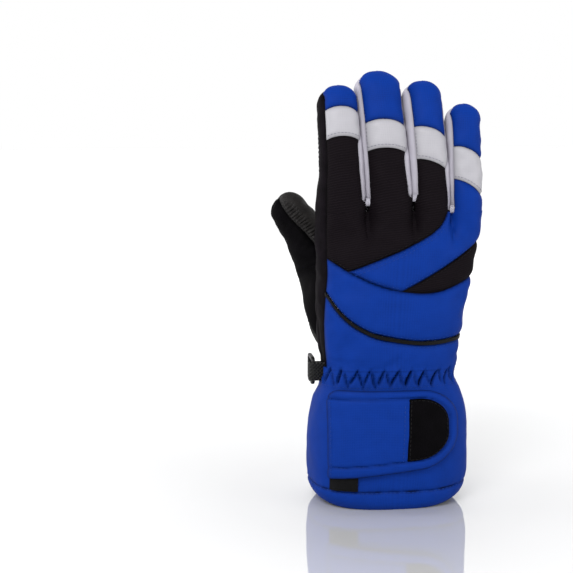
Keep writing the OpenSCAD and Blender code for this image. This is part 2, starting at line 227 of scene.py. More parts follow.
class Hand(Surface):
    """Parameters: angle round the hand (0 little-finger side, 90 palm, 180 thumb side, 270 back), height."""

    def __init__(self):
        self.a_values, self.girth = even_angles(ROUNDNESS, wide=48, deep=25, count=232, start=10)
        self.b_values = np.concatenate([
            np.linspace(0, HEM_TOP, 9),
            np.linspace(HEM_TOP, CUFF_TOP - 8, 32)[1:],
            np.linspace(CUFF_TOP - 8, WRIST_TOP + 9, 42)[1:],
            np.linspace(WRIST_TOP + 9, JOIN_Z, 60)[1:],
        ])

    def at(self, q):
        angle, z = np.radians(np.mod(q[:, 0], 360)), q[:, 1]
        left, right, deep = left_at(z), right_at(z), depth_at(z)
        c = signed_power(np.cos(angle), ROUNDNESS)
        s = signed_power(np.sin(angle), ROUNDNESS)
        x = (left + right) / 2 + (right - left) / 2 * c
        # Towards the knuckles the section takes the shape of the four fingers' roots
        roots = np.zeros(len(x))
        for f in FINGERS.values():
            half = np.full(len(x), f["w0"], float)
            if not f["crotches"][0]:
                half = np.where(x < f["x0"], f["x0"] - left, half)
            if not f["crotches"][1]:
                half = np.where(x > f["x0"], right - f["x0"], half)
            r = np.clip(np.abs(x - f["x0"]) / half, 0, 1)
            bulge = (1 - r ** (2 / FINGER_ROUNDNESS)) ** (FINGER_ROUNDNESS / 2)
            roots = np.maximum(roots, (f["deep"] + ROOT_EXTRA) * bulge)
        inner = (x > FINGERS["index"]["x0"]) & (x < FINGERS["little"]["x0"])
        roots = np.where(inner, np.maximum(roots, VALLEY), roots)
        share = smoothstep(z, KNUCKLE_Z - 30, KNUCKLE_Z - 2)
        y = mix(deep * s, np.sign(s) * roots, share)
        # The mouth's edge rises a little towards the two sides
        z = z + np.where(c > 0, 2.8, 1.2) * np.abs(c) ** 3 * (1 - smoothstep(z, 0, 25))
        return np.stack([x, y, z], 1)

    def flat(self, q):
        return np.stack([q[:, 0] / 360 * self.girth, q[:, 1]], 1) * MM

    def relief(self, q, p):
        z = q[:, 1]
        fade = smoothstep(z, 0, 16) * (1 - smoothstep(z, KNUCKLE_Z - 12, JOIN_Z))
        cuff = 1 - smoothstep(z, CUFF_TOP - 10, CUFF_TOP)
        soft = mix(0.5, 0.9, cuff) * grain(p, (24, 24, 17)) + 0.2 * grain(p, (8, 8, 6), 7.3)
        near_hem = np.exp(-(((z - HEM_TOP) / 5) ** 2))
        hem = 0.9 * np.exp(-(((z - 4.5) / 4.5) ** 2)) - 1.2 * np.exp(-(((z - HEM_TOP) / 1.1) ** 2))
        hem += 0.55 * near_hem * grain(p, (4, 4, 9), 9.1)
        return fade * (soft + self.simulated(q)) + self.gathers(q, p) + hem

    def around(self, q):
        """Share of the way round the hand, by length."""
        angle = np.mod(q[:, 0], 360)
        angle = np.where(angle < self.a_values[0], angle + 360, angle)
        return np.interp(angle, self.a_values, np.linspace(0, 1, len(self.a_values)))

    def valleys(self, q, p):
        """The creases that the elastic draws into the cloth, leaning to and fro, from 0 to about 1."""
        place = self.around(q) * CREASES
        rise = (q[:, 1] - GATHER_Z) / 4.6
        warp = 0.16 * grain(p, (9, 9, 14), 3.1)
        valley = np.zeros(len(q))
        for k in range(-1, 3):
            number = np.floor(place) + k
            even = np.mod(number, 2) == 0
            lean = np.where(even, 1, -0.75) * (0.4 + 0.12 * np.sin(number * 5.1))
            deep = np.where(even, 1.0, 0.62) * (0.85 + 0.2 * np.sin(number * 2.7))
            d = (place + warp - number - lean * np.clip(rise, -1.3, 1.3)) * self.girth / CREASES
            reach = np.exp(-np.clip(np.abs(rise + 0.25 * np.sin(number * 3.3)) - 0.8, 0, None) * 3.5)
            wide = 0.75 + 0.35 * np.clip(1 - np.abs(rise), 0, 1)
            valley = np.maximum(valley, deep * reach * np.exp(-((d / wide) ** 2)))
        return valley

    def gathers(self, q, p):
        """The swell of the gathered cloth, less its creases."""
        rise = (q[:, 1] - GATHER_Z) / 6.5
        fold = np.exp(-np.clip(np.abs(rise) - 0.5, 0, None) * 1.6)
        swell = 1.1 * np.exp(-((rise / 1.1) ** 2)) + 0.5 * fold * grain(p, (7, 7, 16), 5.7)
        return swell - 3.2 * self.valleys(q, p)

    def creases(self, q):
        # Painted shade: darker in the gathers' valleys and, unevenly, along the groove over the hem
        p = self.at(q)
        hem = np.exp(-(((q[:, 1] - HEM_TOP) / 0.8) ** 2)) * np.clip(0.5 + grain(p, (5, 5, 9), 2.9), 0, 1)
        return np.maximum(0.9 * self.valleys(q, p), hem)


class Finger(Surface):
    """Parameters: angle round the finger, and how far along it, the round end being the part above SPLIT."""

    SPLIT = 0.8
    step = (0.05, 0.0005)

    def __init__(self, f):
        self.f = f
        wide = (f["w0"] + f["w1"]) / 2
        self.a_values, self.girth = even_angles(FINGER_ROUNDNESS, wide, f["deep"], count=66, start=90)
        self.b_values = np.concatenate([
            np.linspace(0, self.SPLIT, 54), np.linspace(self.SPLIT, 0.994, 16)[1:],
        ])
        self.length = f["top"] - JOIN_Z
        self.left_extra = 0.0
        if not f["crotches"][0]:
            self.left_extra = max(0.0, f["x0"] - f["w0"] - float(left_at(JOIN_Z)))

    def section(self, q):
        """Height along the finger, share of its length, and the section's half width and half depth."""
        f = self.f
        straight = np.clip(q[:, 1] / self.SPLIT, 0, 1)
        turn = np.clip((q[:, 1] - self.SPLIT) / (1 - self.SPLIT), 0, 1) * math.pi / 2
        z = mix(JOIN_Z, f["top"] - DOME, straight) + DOME * np.sin(turn)
        k = np.cos(turn) ** 0.9
        along = (z - KNUCKLE_Z) / (f["top"] - KNUCKLE_Z)
        root = 1 - smoothstep(along, -0.02, 0.35)
        near = np.cos(np.radians(q[:, 0])) < 0
        wide = mix(f["w0"], f["w1"], np.clip(along, 0, 1)) + self.left_extra * root * near
        # Next to another finger the cloth at the root swells until the two nearly touch
        swell = 0.7 * smoothstep(along, -0.02, 0.12) * (1 - smoothstep(along, 0.3, 0.75))
        wide = wide + swell * np.where(near, f["crotches"][0] > 0, f["crotches"][1] > 0)
        return z, along, wide * k, (f["deep"] + ROOT_EXTRA * root) * k

    def parts(self, q):
        """Height along the finger, share of its length, and the point's place in its section."""
        z, along, wide, deep = self.section(q)
        angle = np.radians(np.mod(q[:, 0], 360))
        across = wide * signed_power(np.cos(angle), FINGER_ROUNDNESS)
        return z, along, across, deep * signed_power(np.sin(angle), FINGER_ROUNDNESS)

    def at(self, q):
        z, along, across, depth = self.parts(q)
        rise = np.clip(z - KNUCKLE_Z, 0, None)
        tilt = np.arctan(2 * CURL * rise)
        x = mix(self.f["x0"], self.f["x1"], np.clip(along, 0, 2)) + across
        return np.stack([x, CURL * rise**2 + depth * np.cos(tilt), z - depth * np.sin(tilt)], 1)

    def flat(self, q):
        return np.stack([q[:, 0] / 360 * self.girth, q[:, 1] * self.length], 1) * MM

    def relief(self, q, p):
        fade = smoothstep(q[:, 1], 0.02, 0.14) * (1 - 0.6 * smoothstep(q[:, 1], 0.85, 1))
        soft = 0.42 * grain(p, (15, 15, 8)) + 0.15 * grain(p, (6, 6, 4), 4.4)
        return fade * (soft + self.simulated(q))


# The thumb's rings: centre x, y and z, and radius
THUMB_RINGS = np.array([
    [-37, 31, 142, 15.3], [-40.5, 34, 155, 15.1], [-48.6, 37, 172, 13.6], [-58.6, 39, 186.5, 11.8],
], float)
RING_STEP = 18  # from ring to ring
THUMB_ROOT = (140, 121, 25, 29)  # angle and height on the hand, and half its reach in each
THUMB_START = np.array([-0.05, 0.5, 0.85])  # the way the thumb leaves the palm
THUMB_SIDE = np.array([0.9, 0.1, 0.3])  # roughly the way in which a ring's angle is 0
RIB_PITCH = 2.2


class Thumb(Surface):
    """Parameters: angle round the thumb (0 towards the palm's middle) and ring, past 4 the round end."""

    step = (0.05, 0.0005)
    girth = 92

    def __init__(self, hand):
        self.hand = hand
        self.a_values = np.linspace(0, 360, 73)
        self.b_values = np.concatenate([
            np.linspace(0, 1, 22), np.linspace(1, 4, 110)[1:], np.linspace(4, 4.985, 34)[1:],
        ])
        self.curve = [smooth_curve(np.stack([np.arange(1, 5), THUMB_RINGS[:, k]], 1)) for k in range(4)]

    def ring(self, q):
        """Points on the rings from the first to the end of the thumb."""
        t = np.clip(q[:, 1], 1, 4)
        centre, ahead, behind = (
            np.stack([self.curve[k](np.clip(t + shift, 1, 4)) for k in range(3)], 1)
            for shift in (0, 0.15, -0.15)
        )
        axis = unit(mix(unit(THUMB_START), unit(ahead - behind), smoothstep(t, 1, 2)[:, None]))
        x = unit(THUMB_SIDE - (axis @ THUMB_SIDE)[:, None] * axis)
        y = np.cross(axis, x)
        turn = np.clip(q[:, 1] - 4, 0, 1) * math.pi / 2
        r = self.curve[3](t)
        a = np.radians(np.mod(q[:, 0], 360))
        out = np.cos(a)[:, None] * x + np.sin(a)[:, None] * y
        return centre + (r * np.sin(turn))[:, None] * axis + (r * np.cos(turn) ** 0.9)[:, None] * out

    def at(self, q):
        a = np.radians(np.mod(q[:, 0], 360))
        root_a, root_z, half_a, half_z = THUMB_ROOT
        root = self.hand.at(np.stack([root_a - half_a * np.cos(a), root_z - half_z * np.sin(a)], 1))
        t = np.clip(q[:, 1], 0, 1)[:, None]
        first = self.ring(np.stack([q[:, 0], np.ones(len(q))], 1))
        onward = self.ring(np.stack([q[:, 0], np.full(len(q), 1.3)], 1)) - first
        # Leaves the palm and joins the first ring smoothly
        lift = mix(root, first, t) + t * t * (t - 1) * onward * 1.5
        # The heel of the thumb stands out beside the hand
        heel = np.exp(-(((np.mod(q[:, 0], 360) - 132) / 50) ** 2)) * np.sin(math.pi * t[:, 0] ** 0.7)
        lift[:, 0] -= 4.6 * heel
        return np.where(q[:, 1:2] < 1, lift, self.ring(q))

    def flat(self, q):
        return np.stack([q[:, 0] / 360 * self.girth, q[:, 1] * RING_STEP], 1) * MM

    def relief(self, q, p):
        fade = smoothstep(q[:, 1], 0.0, 0.5)
        soft = 0.45 * grain(p, (15, 15, 9)) + 0.15 * grain(p, (6, 6, 4), 4.4)
        return fade * (soft + self.simulated(q)) + 0.55 * self.ribs(q)

    def ribs(self, q):
        """Short ribs across the leather beside its seam, towards the end of the thumb."""
        past = np.mod(q[:, 0], 360) - thumb_front_seam(q[:, 1])
        beside = smoothstep(past, 2, 6) * (1 - smoothstep(past, 24, 36))
        along = smoothstep(q[:, 1], 1.6, 2.2) * (1 - smoothstep(q[:, 1], 4.3, 4.6))
        return beside * along * np.sin(q[:, 1] * RING_STEP * 2 * math.pi / RIB_PITCH)


def thumb_front_seam(t):
    """Angle of the back panel's seam on the side that faces the back of the hand."""
    return mix(272, 247, smoothstep(t, 2.0, 4.2))


DIP_Z = 60  # above it the cuff draws in towards the wrist


class Wrap(Surface):
    """The front of the cuff by x and height, for the flap and what is sewn under and on it."""

    def __init__(self, x_range, z_range, cell):
        self.a_values = np.linspace(*x_range, int(np.ptp(x_range) / cell) + 1)
        self.b_values = np.linspace(*z_range, int(np.ptp(z_range) / cell) + 1)

    def at(self, q):
        # A stiff flap bridges the dip above the cuff
        z = np.where(q[:, 1] > DIP_Z, mix(DIP_Z, q[:, 1], 0.45), q[:, 1])
        middle, half = middle_and_half(z)
        c = np.clip(np.abs((q[:, 0] - middle) / half), 0, 0.999)
        s = (1 - c ** (2 / ROUNDNESS)) ** (ROUNDNESS / 2)
        return np.stack([q[:, 0], -depth_at(z) * s, q[:, 1]], 1)

    def relief(self, q, p):
        return 0.5 * grain(p, (20, 20, 14), 2.2) + 0.15 * grain(p, (7, 7, 5), 6.1)


# ---------------------------------------------------------------- cutting and building pieces

def cut(q, faces, value):
    """The part of a mesh where value is above 0, cut straight across its faces."""
    q, value = q.copy(), np.array(value, float)
    # A point very near the line moves onto it, so that no sliver is left
    for face in faces:
        for k, i in enumerate(face):
            j = face[(k + 1) % len(face)]
            if value[i] * value[j] < 0:
                t = value[i] / (value[i] - value[j])
                if t < 0.15:
                    q[i] = q[i] + (q[j] - q[i]) * t
                    value[i] = 0
                elif t > 0.85:
                    q[j] = q[i] + (q[j] - q[i]) * t
                    value[j] = 0
    inside = (value > 0).tolist()
    points, made, kept = q.tolist(), {}, []

    def crossing(i, j):
        a, b = min(i, j), max(i, j)
        if (a, b) not in made:
            t = value[a] / (value[a] - value[b])
            made[a, b] = len(points)
            points.append((q[a] + (q[b] - q[a]) * t).tolist())
        return made[a, b]

    for face in faces:
        if all(inside[i] for i in face):
            kept.append(face)
        elif any(inside[i] for i in face):
            out = []
            for k, i in enumerate(face):
                j = face[(k + 1) % len(face)]
                if inside[i]:
                    out.append(i)
                if inside[i] != inside[j]:
                    out.append(crossing(i, j))
            if len(out) > 2:
                kept.append(tuple(out))
    used = sorted({i for face in kept for i in face})
    place = {old: new for new, old in enumerate(used)}
    return np.array([points[i] for i in used]).reshape(-1, 2), [tuple(place[i] for i in f) for f in kept]


def new_mesh(name, points, faces, material, body, flat=None, shade=None):
    """A smooth object from points in millimetres, riding on a body when body is a name, and otherwise baked
    in place.
    """
    mesh = bpy.data.meshes.new(name)
    mesh.from_pydata((np.asarray(points) * MM).tolist(), [], faces)
    mesh.polygons.foreach_set("use_smooth", [True] * len(mesh.polygons))
    if flat is not None:
        corner = np.empty(len(mesh.loops), int)
        mesh.loops.foreach_get("vertex_index", corner)
        mesh.uv_layers.new(name="cloth").data.foreach_set("uv", np.asarray(flat)[corner].ravel())
    # Painted shade of seams, channels and creases, stored per point for the material to darken its colour
    if shade is not None:
        mesh.attributes.new("crease", "FLOAT", "POINT").data.foreach_set("value", shade)
    mesh.update()
    mesh.set_sharp_from_angle(angle=math.radians(50))
    obj = bpy.data.objects.new(name, mesh)
    bpy.context.scene.collection.objects.link(obj)
    obj.data.materials.append(material)
    if isinstance(body, str):
        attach(obj, body)
    else:
        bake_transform(obj)
    return obj


def slab(name, outer, inner, faces, material, body, flat, shade=None):
    """A closed piece between the outer and the inner copy of a cut sheet."""
    # Points that fall together, at a tip or where a ring closes, become one
    number, place, pick = {}, [], []
    for i, p in enumerate(np.round(outer, 3).tolist()):
        key = tuple(p)
        if key not in number:
            number[key] = len(pick)
            pick.append(i)
        place.append(number[key])
    points = np.concatenate([outer[pick], inner[pick]])
    flat = np.concatenate([flat[pick], flat[pick]])
    skin = []
    for face in faces:
        ring = [place[i] for i in face]
        ring = [v for k, v in enumerate(ring) if v != ring[k - 1]]
        if len(ring) > 2 and len(set(ring)) == len(ring):
            skin.append(tuple(ring))
    n = len(pick)
    edges = {(f[k - 1], f[k]) for f in skin for k in range(len(f))}
    walls = [(i, i + n, j + n, j) for i, j in sorted(edges) if (j, i) not in edges]
    under = [tuple(i + n for i in reversed(f)) for f in skin]
    if shade is not None:
        shade = np.concatenate([shade[pick], shade[pick]])
    return new_mesh(name, points, skin + under + walls, material, body, flat=flat, shade=shade)


SEAM_DEPTH = 0.8  # how deep a seam draws the cloth in
NO_SEAM = 40  # the distance that stands for no seam near


class Panel:
    """One sewn piece: the part of a surface where every seam and end function is above 0.

    puff is how far the padding swells it, reach how wide the slope beside a seam is, lift its height
    over the surface, thick its thickness, and pucker the height of the wrinkles beside a seam. channel
    is a row of stitches that draws it in: where, how deep, how wide and by which function.
    """

    def __init__(self, surface, seams=(), ends=(), puff=0.7, reach=2.0, lift=0.0, thick=0.9, pucker=0.3,
                 channel=None):
        self.surface, self.seams, self.ends = surface, list(seams), list(ends)
        self.puff, self.reach, self.lift = puff, reach, lift
        self.thick, self.pucker, self.channel = thick, pucker, channel

    def distance(self, q):
        return np.clip(np.min([np.full(len(q), NO_SEAM), *(seam(q) for seam in self.seams)], axis=0), 0, None)

    def top(self, q):
        """Points of the finished cloth, and its normals."""
        p, n = self.surface.at(q), self.surface.normals(q)
        d = self.distance(q)
        height = self.puff - (SEAM_DEPTH + self.puff) * np.exp(-d / self.reach)
        if not self.seams:
            height = np.zeros(len(q))
        height = height + self.surface.relief(q, p) * (1 - 0.8 * np.exp(-d / 1.5)) + self.lift
        if self.pucker:
            height = height + self.pucker * np.exp(-d / 4) * grain(p, 2.6, 1.7) * (1 - np.exp(-d / 0.6))
        if self.channel:
            at, depth, wide, field = self.channel
            height = height - depth * np.exp(-(((field(q) - at) / wide) ** 2))
        return p + n * height[:, None], n

    def shade(self, q):
        """Painted shade: dark lines where the cloth dives into a seam or a channel, added to the surface's
        painted shade of its folds.
        """
        d = self.distance(q)
        dark = self.surface.creases(q)
        if self.seams:
            dark = np.maximum(dark, 0.85 * np.exp(-d / 0.7))
        if self.channel:
            at, _, wide, field = self.channel
            dark = np.maximum(dark, 0.35 * np.exp(-(((field(q) - at) / wide) ** 2)))
        return dark

    def build(self, name, material, body, node, fill=None):
        q, faces = self.surface.grid()
        for edge in [*self.seams, *self.ends]:
            q, faces = cut(q, faces, edge(q))
        outer, n = self.top(q)
        p = self.surface.at(q)
        sunk = np.minimum(self.surface.relief(q, p), 0)
        base = self.lift - self.thick - (SEAM_DEPTH if self.seams else 0)
        inner = p + n * (base + sunk)[:, None]
        obj = slab(name, outer, inner, faces, material, body, self.surface.flat(q), self.shade(q))
        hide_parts(node)


def press_out(surface, panels, cell=4.0, most=0.9):
    """Cloth simulation on a coarse copy of a surface, sewn down along the seams of its panels.

    The padding presses slightly too long cloth outwards; how far each point moves, up to `most`
    millimetres, becomes part of the surface's relief.
    """
    a_all, b_all = surface.a_values, surface.b_values
    span = surface.at(np.stack([a_all, np.full(len(a_all), b_all[len(b_all) // 2])], 1))
    run = surface.at(np.stack([np.full(len(b_all), a_all[len(a_all) // 3]), b_all], 1))
    columns, rows = (int(np.linalg.norm(np.diff(p, axis=0), axis=1).sum() / cell) for p in (span, run))
    a = a_all[np.linspace(0, len(a_all) - 1, columns).astype(int)]
    b = b_all[np.linspace(0, len(b_all) - 1, rows).astype(int)]
    q = grid_points(a, b)
    start, normals = surface.at(q), surface.normals(q)
    inside = np.zeros(len(q))
    for panel in panels:
        inside = np.maximum(inside, np.min([edge(q) for edge in [*panel.seams, *panel.ends]], axis=0))
    column = np.arange(len(q)) % columns
    sewn = (inside < 2.5) | (column == 0) | (column == columns - 1)
    mesh = bpy.data.meshes.new("padding_trial")
    mesh.from_pydata((start * MM).tolist(), [], grid_faces(columns, rows))
    trial = bpy.data.objects.new("padding_trial", mesh)
    bpy.context.scene.collection.objects.link(trial)
    trial.vertex_groups.new(name="sewn").add(np.nonzero(sewn)[0].tolist(), 1.0, "REPLACE")
    cloth = trial.modifiers.new("padding", "CLOTH")
    settings = cloth.settings
    settings.quality, settings.mass = 6, 0.2
    settings.tension_stiffness = settings.compression_stiffness = 10
    settings.shear_stiffness, settings.bending_stiffness = 4, 0.4
    settings.use_pressure, settings.uniform_pressure_force = True, 4
    settings.shrink_min = -0.04
    settings.effector_weights.gravity = 0
    settings.vertex_group_mass = "sewn"
    cloth.point_cache.frame_start, cloth.point_cache.frame_end = 1, 20
    for step in range(1, 21):
        bpy.context.scene.frame_set(step)
    end = np.empty(len(q) * 3)
    trial.evaluated_get(bpy.context.evaluated_depsgraph_get()).data.vertices.foreach_get("co", end)
    moved = ((end.reshape(-1, 3) / MM - start) * normals).sum(axis=1)
    moved = (most * np.tanh(moved / most)).reshape(rows, columns)
    bpy.data.objects.remove(trial)
    bpy.data.meshes.remove(mesh)
    bpy.context.scene.frame_set(1)
    wide = np.array([np.interp(a_all, a, row) for row in moved])
    folds = np.array([np.interp(b_all, b, wide[:, i]) for i in range(len(a_all))]).T
    for _ in range(3):
        folds[1:-1] = (folds[:-2] + 2 * folds[1:-1] + folds[2:]) / 4
        folds[:, 1:-1] = (folds[:, :-2] + 2 * folds[:, 1:-1] + folds[:, 2:]) / 4
    surface.folds = folds


def layer(name, surface, ends, outer, inner, material, body, node):
    """A plain layer inside the glove between two depths under its surface."""
    q, faces = surface.grid()
    for edge in ends:
        q, faces = cut(q, faces, edge(q))
    p, n = surface.at(q), surface.normals(q)
    obj = slab(name, p + n * outer, p + n * inner, faces, material, body, surface.flat(q))
    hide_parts(node)


def resample(points, spacing):
    """Points along a line, evenly spaced, with whatever else each point carries."""
    run = np.concatenate([[0], np.cumsum(np.linalg.norm(np.diff(points, axis=0), axis=1))])
    count = max(2, int(round(run[-1] / spacing)) + 1)
    at = np.linspace(0, run[-1], count)
    return np.stack([np.interp(at, run, points[:, k]) for k in range(points.shape[1])], 1)


def tube_faces(count, sides):
    """Faces of a closed tube of so many rings."""
    faces = []
    for i in range(count - 1):
        for k in range(sides):
            a, b = i * sides + k, i * sides + (k + 1) % sides
            faces.append((a, b, b + sides, a + sides))
    faces.append(tuple(reversed(range(sides))))
    faces.append(tuple((count - 1) * sides + k for k in range(sides)))
    return faces


def tube(path, radius, sides):
    """Vertices and faces of a round tube along a path, with a radius for each point."""
    ahead = unit(np.gradient(path, axis=0))
    side = np.cross(ahead[0], [0.31, 0.17, 0.93])
    verts = []
    for p, a, r in zip(path, ahead, radius):
        side = side - a * side.dot(a)
        side /= np.linalg.norm(side)
        up = np.cross(a, side)
        for k in range(sides):
            t = 2 * math.pi * k / sides
            verts.append(p + r * (math.cos(t) * side + math.sin(t) * up))
    return verts, tube_faces(len(path), sides)


def stitches(name, lines, material, body, pitch=3.0, share=0.7, radius=0.26, sink=0.16):
    """Rows of thread: each stitch comes out of the cloth, runs along it and dives again.

    lines holds (points, normals) pairs on the finished cloth.
    """
    verts, faces = [], []
    count = 5  # points along a stitch, and spacings from one stitch to the next
    for points, normals in lines:
        both = resample(np.concatenate([points, normals], 1), pitch / count)
        p, n = both[:, :3], unit(both[:, 3:])
        for start in range(0, len(p) - count, count):
            steps = np.linspace(start, start + count * share, count)
            at = np.arange(start, start + count + 1)
            base = np.stack([np.interp(steps, at, p[at, k]) for k in range(3)], 1)
            bulge = np.array([-sink, radius * 0.45, radius * 0.65, radius * 0.45, -sink])
            path = base + n[start + 2] * bulge[:, None]
            v, f = tube(path, radius * np.array([0.55, 1, 1, 1, 0.55]), sides=6)
            faces += [tuple(i + len(verts) for i in face) for face in f]
            verts += v
    return new_mesh(name, verts, faces, material, body)


# ---------------------------------------------------------------- materials

def add(tree, kind, **settings):
    """A new node. A setting that starts with _ is an input's value, or what is linked to that input."""
    node = tree.nodes.new(kind)
    for key, value in settings.items():
        if not key.startswith("_"):
            setattr(node, key, value)
            continue
        socket = node.inputs[key[1:].replace("_", " ")]
        if isinstance(value, bpy.types.NodeSocket):
            tree.links.new(value, socket)
        else:
            socket.default_value = value
    return node


def maths(tree, operation, *values):
    node = add(tree, "ShaderNodeMath", operation=operation)
    for socket, value in zip(node.inputs, values):
        if isinstance(value, (int, float)):
            socket.default_value = value
        else:
            tree.links.new(value, socket)
    return node.outputs[0]


def weighted(tree, *terms):
    """The sum of (value, weight) terms."""
    total = None
    for value, weight in terms:
        part = maths(tree, "MULTIPLY", value, weight)
        total = part if total is None else maths(tree, "ADD", total, part)
    return total


def cloth_place(tree, turn=0.0, uv=True, scale=(1, 1, 1)):
    """A place on the flat cloth, or in the object where uv is False, in metres."""
    source = add(tree, "ShaderNodeUVMap", uv_map="cloth") if uv else add(tree, "ShaderNodeTexCoord")
    mapping = add(tree, "ShaderNodeMapping", _Scale=scale, _Rotation=(0, 0, turn))
    tree.links.new(source.outputs["UV" if uv else "Object"], mapping.inputs["Vector"])
    return mapping.outputs["Vector"]


def waves(tree, vector, direction, per_metre, distort=0.0):
    scale = per_metre / 20 * math.pi  # one band is 2 pi / 20 long
    wave = add(tree, "ShaderNodeTexWave", wave_type="BANDS", bands_direction=direction, _Scale=scale,
               _Distortion=distort, _Detail=1.0, _Detail_Scale=1.5, _Vector=vector)
    return wave.outputs["Fac"]


def noise_at(tree, vector, scale, detail=3.0, rough=0.5):
    node = add(tree, "ShaderNodeTexNoise", _Scale=scale, _Detail=detail, _Roughness=rough, _Vector=vector)
    return node.outputs["Fac"]


def ramp(tree, factor, *stops):
    """Colours from (position, colour) stops."""
    node = add(tree, "ShaderNodeValToRGB", _Fac=factor)
    while len(node.color_ramp.elements) < len(stops):
        node.color_ramp.elements.new(0.5)
    for element, (position, colour) in zip(node.color_ramp.elements, stops):
        element.position, element.color = position, (*colour, 1)
    return node.outputs["Color"]


def scaled(colour, k):
    return tuple(min(1.0, c * k) for c in colour)


def new_material(name, colour, rough=0.6, sheen=0.0, sheen_rough=0.5, specular=0.4, coat=0.0):
    material = bpy.data.materials.new(name)
    material.use_nodes = True
    tree = material.node_tree
    shader = next(n for n in tree.nodes if n.type == "BSDF_PRINCIPLED")
    values = {
        "Base Color": (*colour, 1), "Roughness": rough, "Specular IOR Level": specular,
        "Sheen Weight": sheen, "Sheen Roughness": sheen_rough, "Coat Weight": coat,
    }
    for key, value in values.items():
        shader.inputs[key].default_value = value
    return material, tree, shader


def set_bump(tree, shader, height, strength, distance):
    bump = add(tree, "ShaderNodeBump", _Strength=strength, _Distance=distance, _Height=height)
    tree.links.new(bump.outputs["Normal"], shader.inputs["Normal"])


def set_colour(tree, shader, colour, shaded=0.8):
    """Link a colour to the shader, darkened by painted shade where the mesh marks seams, channels and
    creases.
    """
    # Painted shade: the colour is scaled down by the mesh's per-point shade
    crease = add(tree, "ShaderNodeAttribute", attribute_name="crease")
    light = maths(tree, "SUBTRACT", 1.0, maths(tree, "MULTIPLY", crease.outputs["Fac"], shaded))
    node = add(tree, "ShaderNodeVectorMath", operation="SCALE", _Scale=light)
    tree.links.new(colour, node.inputs[0])
    tree.links.new(node.outputs[0], shader.inputs["Base Color"])


def woven(name, colour, pitch_mm, rough, bump=0.5, vary=0.18, specular=0.1, shaded=0.85):
    """Plain-woven cloth: crossed threads and uneven dye."""
    material, tree, shader = new_material(name, colour, rough, 0.0, 0.4, specular)
    flat = cloth_place(tree)
    per_metre = 1000 / pitch_mm
    crossed = [waves(tree, flat, direction, per_metre, 0.4) for direction in "XY"]
    threads = maths(tree, "MULTIPLY", maths(tree, "ADD", *crossed), 0.5)
    cloud = noise_at(tree, flat, 90, 4)
    fleck = noise_at(tree, flat, 1500, 2)
    mixed = weighted(tree, (cloud, 0.55), (threads, 0.3), (fleck, 0.15))
    dark, light = scaled(colour, 1 - vary * 2), scaled(colour, 1 + vary)
    set_colour(tree, shader, ramp(tree, mixed, (0.25, dark), (0.5, colour), (0.8, light)), shaded)
    set_bump(tree, shader, maths(tree, "ADD", threads, maths(tree, "MULTIPLY", fleck, 0.5)), bump, 0.00025)
    return material


def twill(name, colour, light, pitch_mm):
    """Twill: fine diagonal ribs with paler threads between."""
    material, tree, shader = new_material(name, colour, 0.75, 0.0, 0.35, 0.05)
    turned = cloth_place(tree, turn=math.radians(80))
    flat = cloth_place(tree)
    ribs = waves(tree, turned, "X", 1000 / pitch_mm, 0.8)
    cross = waves(tree, flat, "Y", 1000 / (pitch_mm * 0.55), 0.5)
    weave = maths(tree, "MULTIPLY", ribs, maths(tree, "ADD", maths(tree, "MULTIPLY", cross, 0.45), 0.55))
    cloud = noise_at(tree, flat, 110, 4)
    fleck = noise_at(tree, flat, 1300, 2)
    mixed = weighted(tree, (weave, 0.5), (cloud, 0.28), (fleck, 0.22))
    set_colour(tree, shader, ramp(tree, mixed, (0.3, colour), (0.55, scaled(light, 0.75)), (0.8, light)))
    set_bump(tree, shader, weave, 0.45, 0.0003)
    return material


def jersey(name, colour):
    """Smooth black stretch cloth with very fine ribs."""
    material, tree, shader = new_material(name, colour, 0.65, 0.0, 0.4, 0.03)
    flat = cloth_place(tree)
    ribs = waves(tree, flat, "X", 1400, 0.5)
    cloud = noise_at(tree, flat, 130, 4)
    set_colour(tree, shader, ramp(tree, cloud, (0.3, scaled(colour, 0.7)), (0.7, scaled(colour, 1.6))))
    set_bump(tree, shader, maths(tree, "ADD", ribs, cloud), 0.35, 0.0002)
    return material


def leather(name, colour, light, pitch_mm, rough, coat, stretch, depth_mm, specular=0.4):
    """Synthetic leather with raised scales, shiny on top, with painted shade darkening the grooves between
    them and painted highlight paling their tops.
    """
    material, tree, shader = new_material(name, colour, rough, 0, 0.5, specular, coat)
    shader.inputs["Coat Roughness"].default_value = 0.3
    per_metre = 1000 / pitch_mm
    cells = add(tree, "ShaderNodeTexVoronoi", feature="DISTANCE_TO_EDGE", voronoi_dimensions="2D", _Scale=1.0,
                _Randomness=0.75, _Vector=cloth_place(tree, scale=(per_metre, per_metre * stretch, 1)))
    inside = maths(tree, "MINIMUM", maths(tree, "MULTIPLY", cells.outputs["Distance"], 2.6), 1.0)
    dome = maths(tree, "POWER", inside, 0.5)
    flat = cloth_place(tree)
    cloud = noise_at(tree, flat, 120, 4)
    fine = noise_at(tree, flat, 2500, 2)
    mixed = weighted(tree, (dome, 0.6), (cloud, 0.4))
    # Painted shade and highlight: the colour follows the scales' height, darker in the grooves and paler on
    # top, with uneven tone mixed in
    set_colour(tree, shader, ramp(tree, mixed, (0.2, scaled(colour, 0.5)), (0.6, colour), (0.95, light)))
    polish = maths(tree, "SUBTRACT", rough + 0.25, maths(tree, "MULTIPLY", dome, 0.25))
    tree.links.new(polish, shader.inputs["Roughness"])
    set_bump(tree, shader, maths(tree, "ADD", dome, maths(tree, "MULTIPLY", fine, 0.12)), 0.9, depth_mm * MM)
    return material


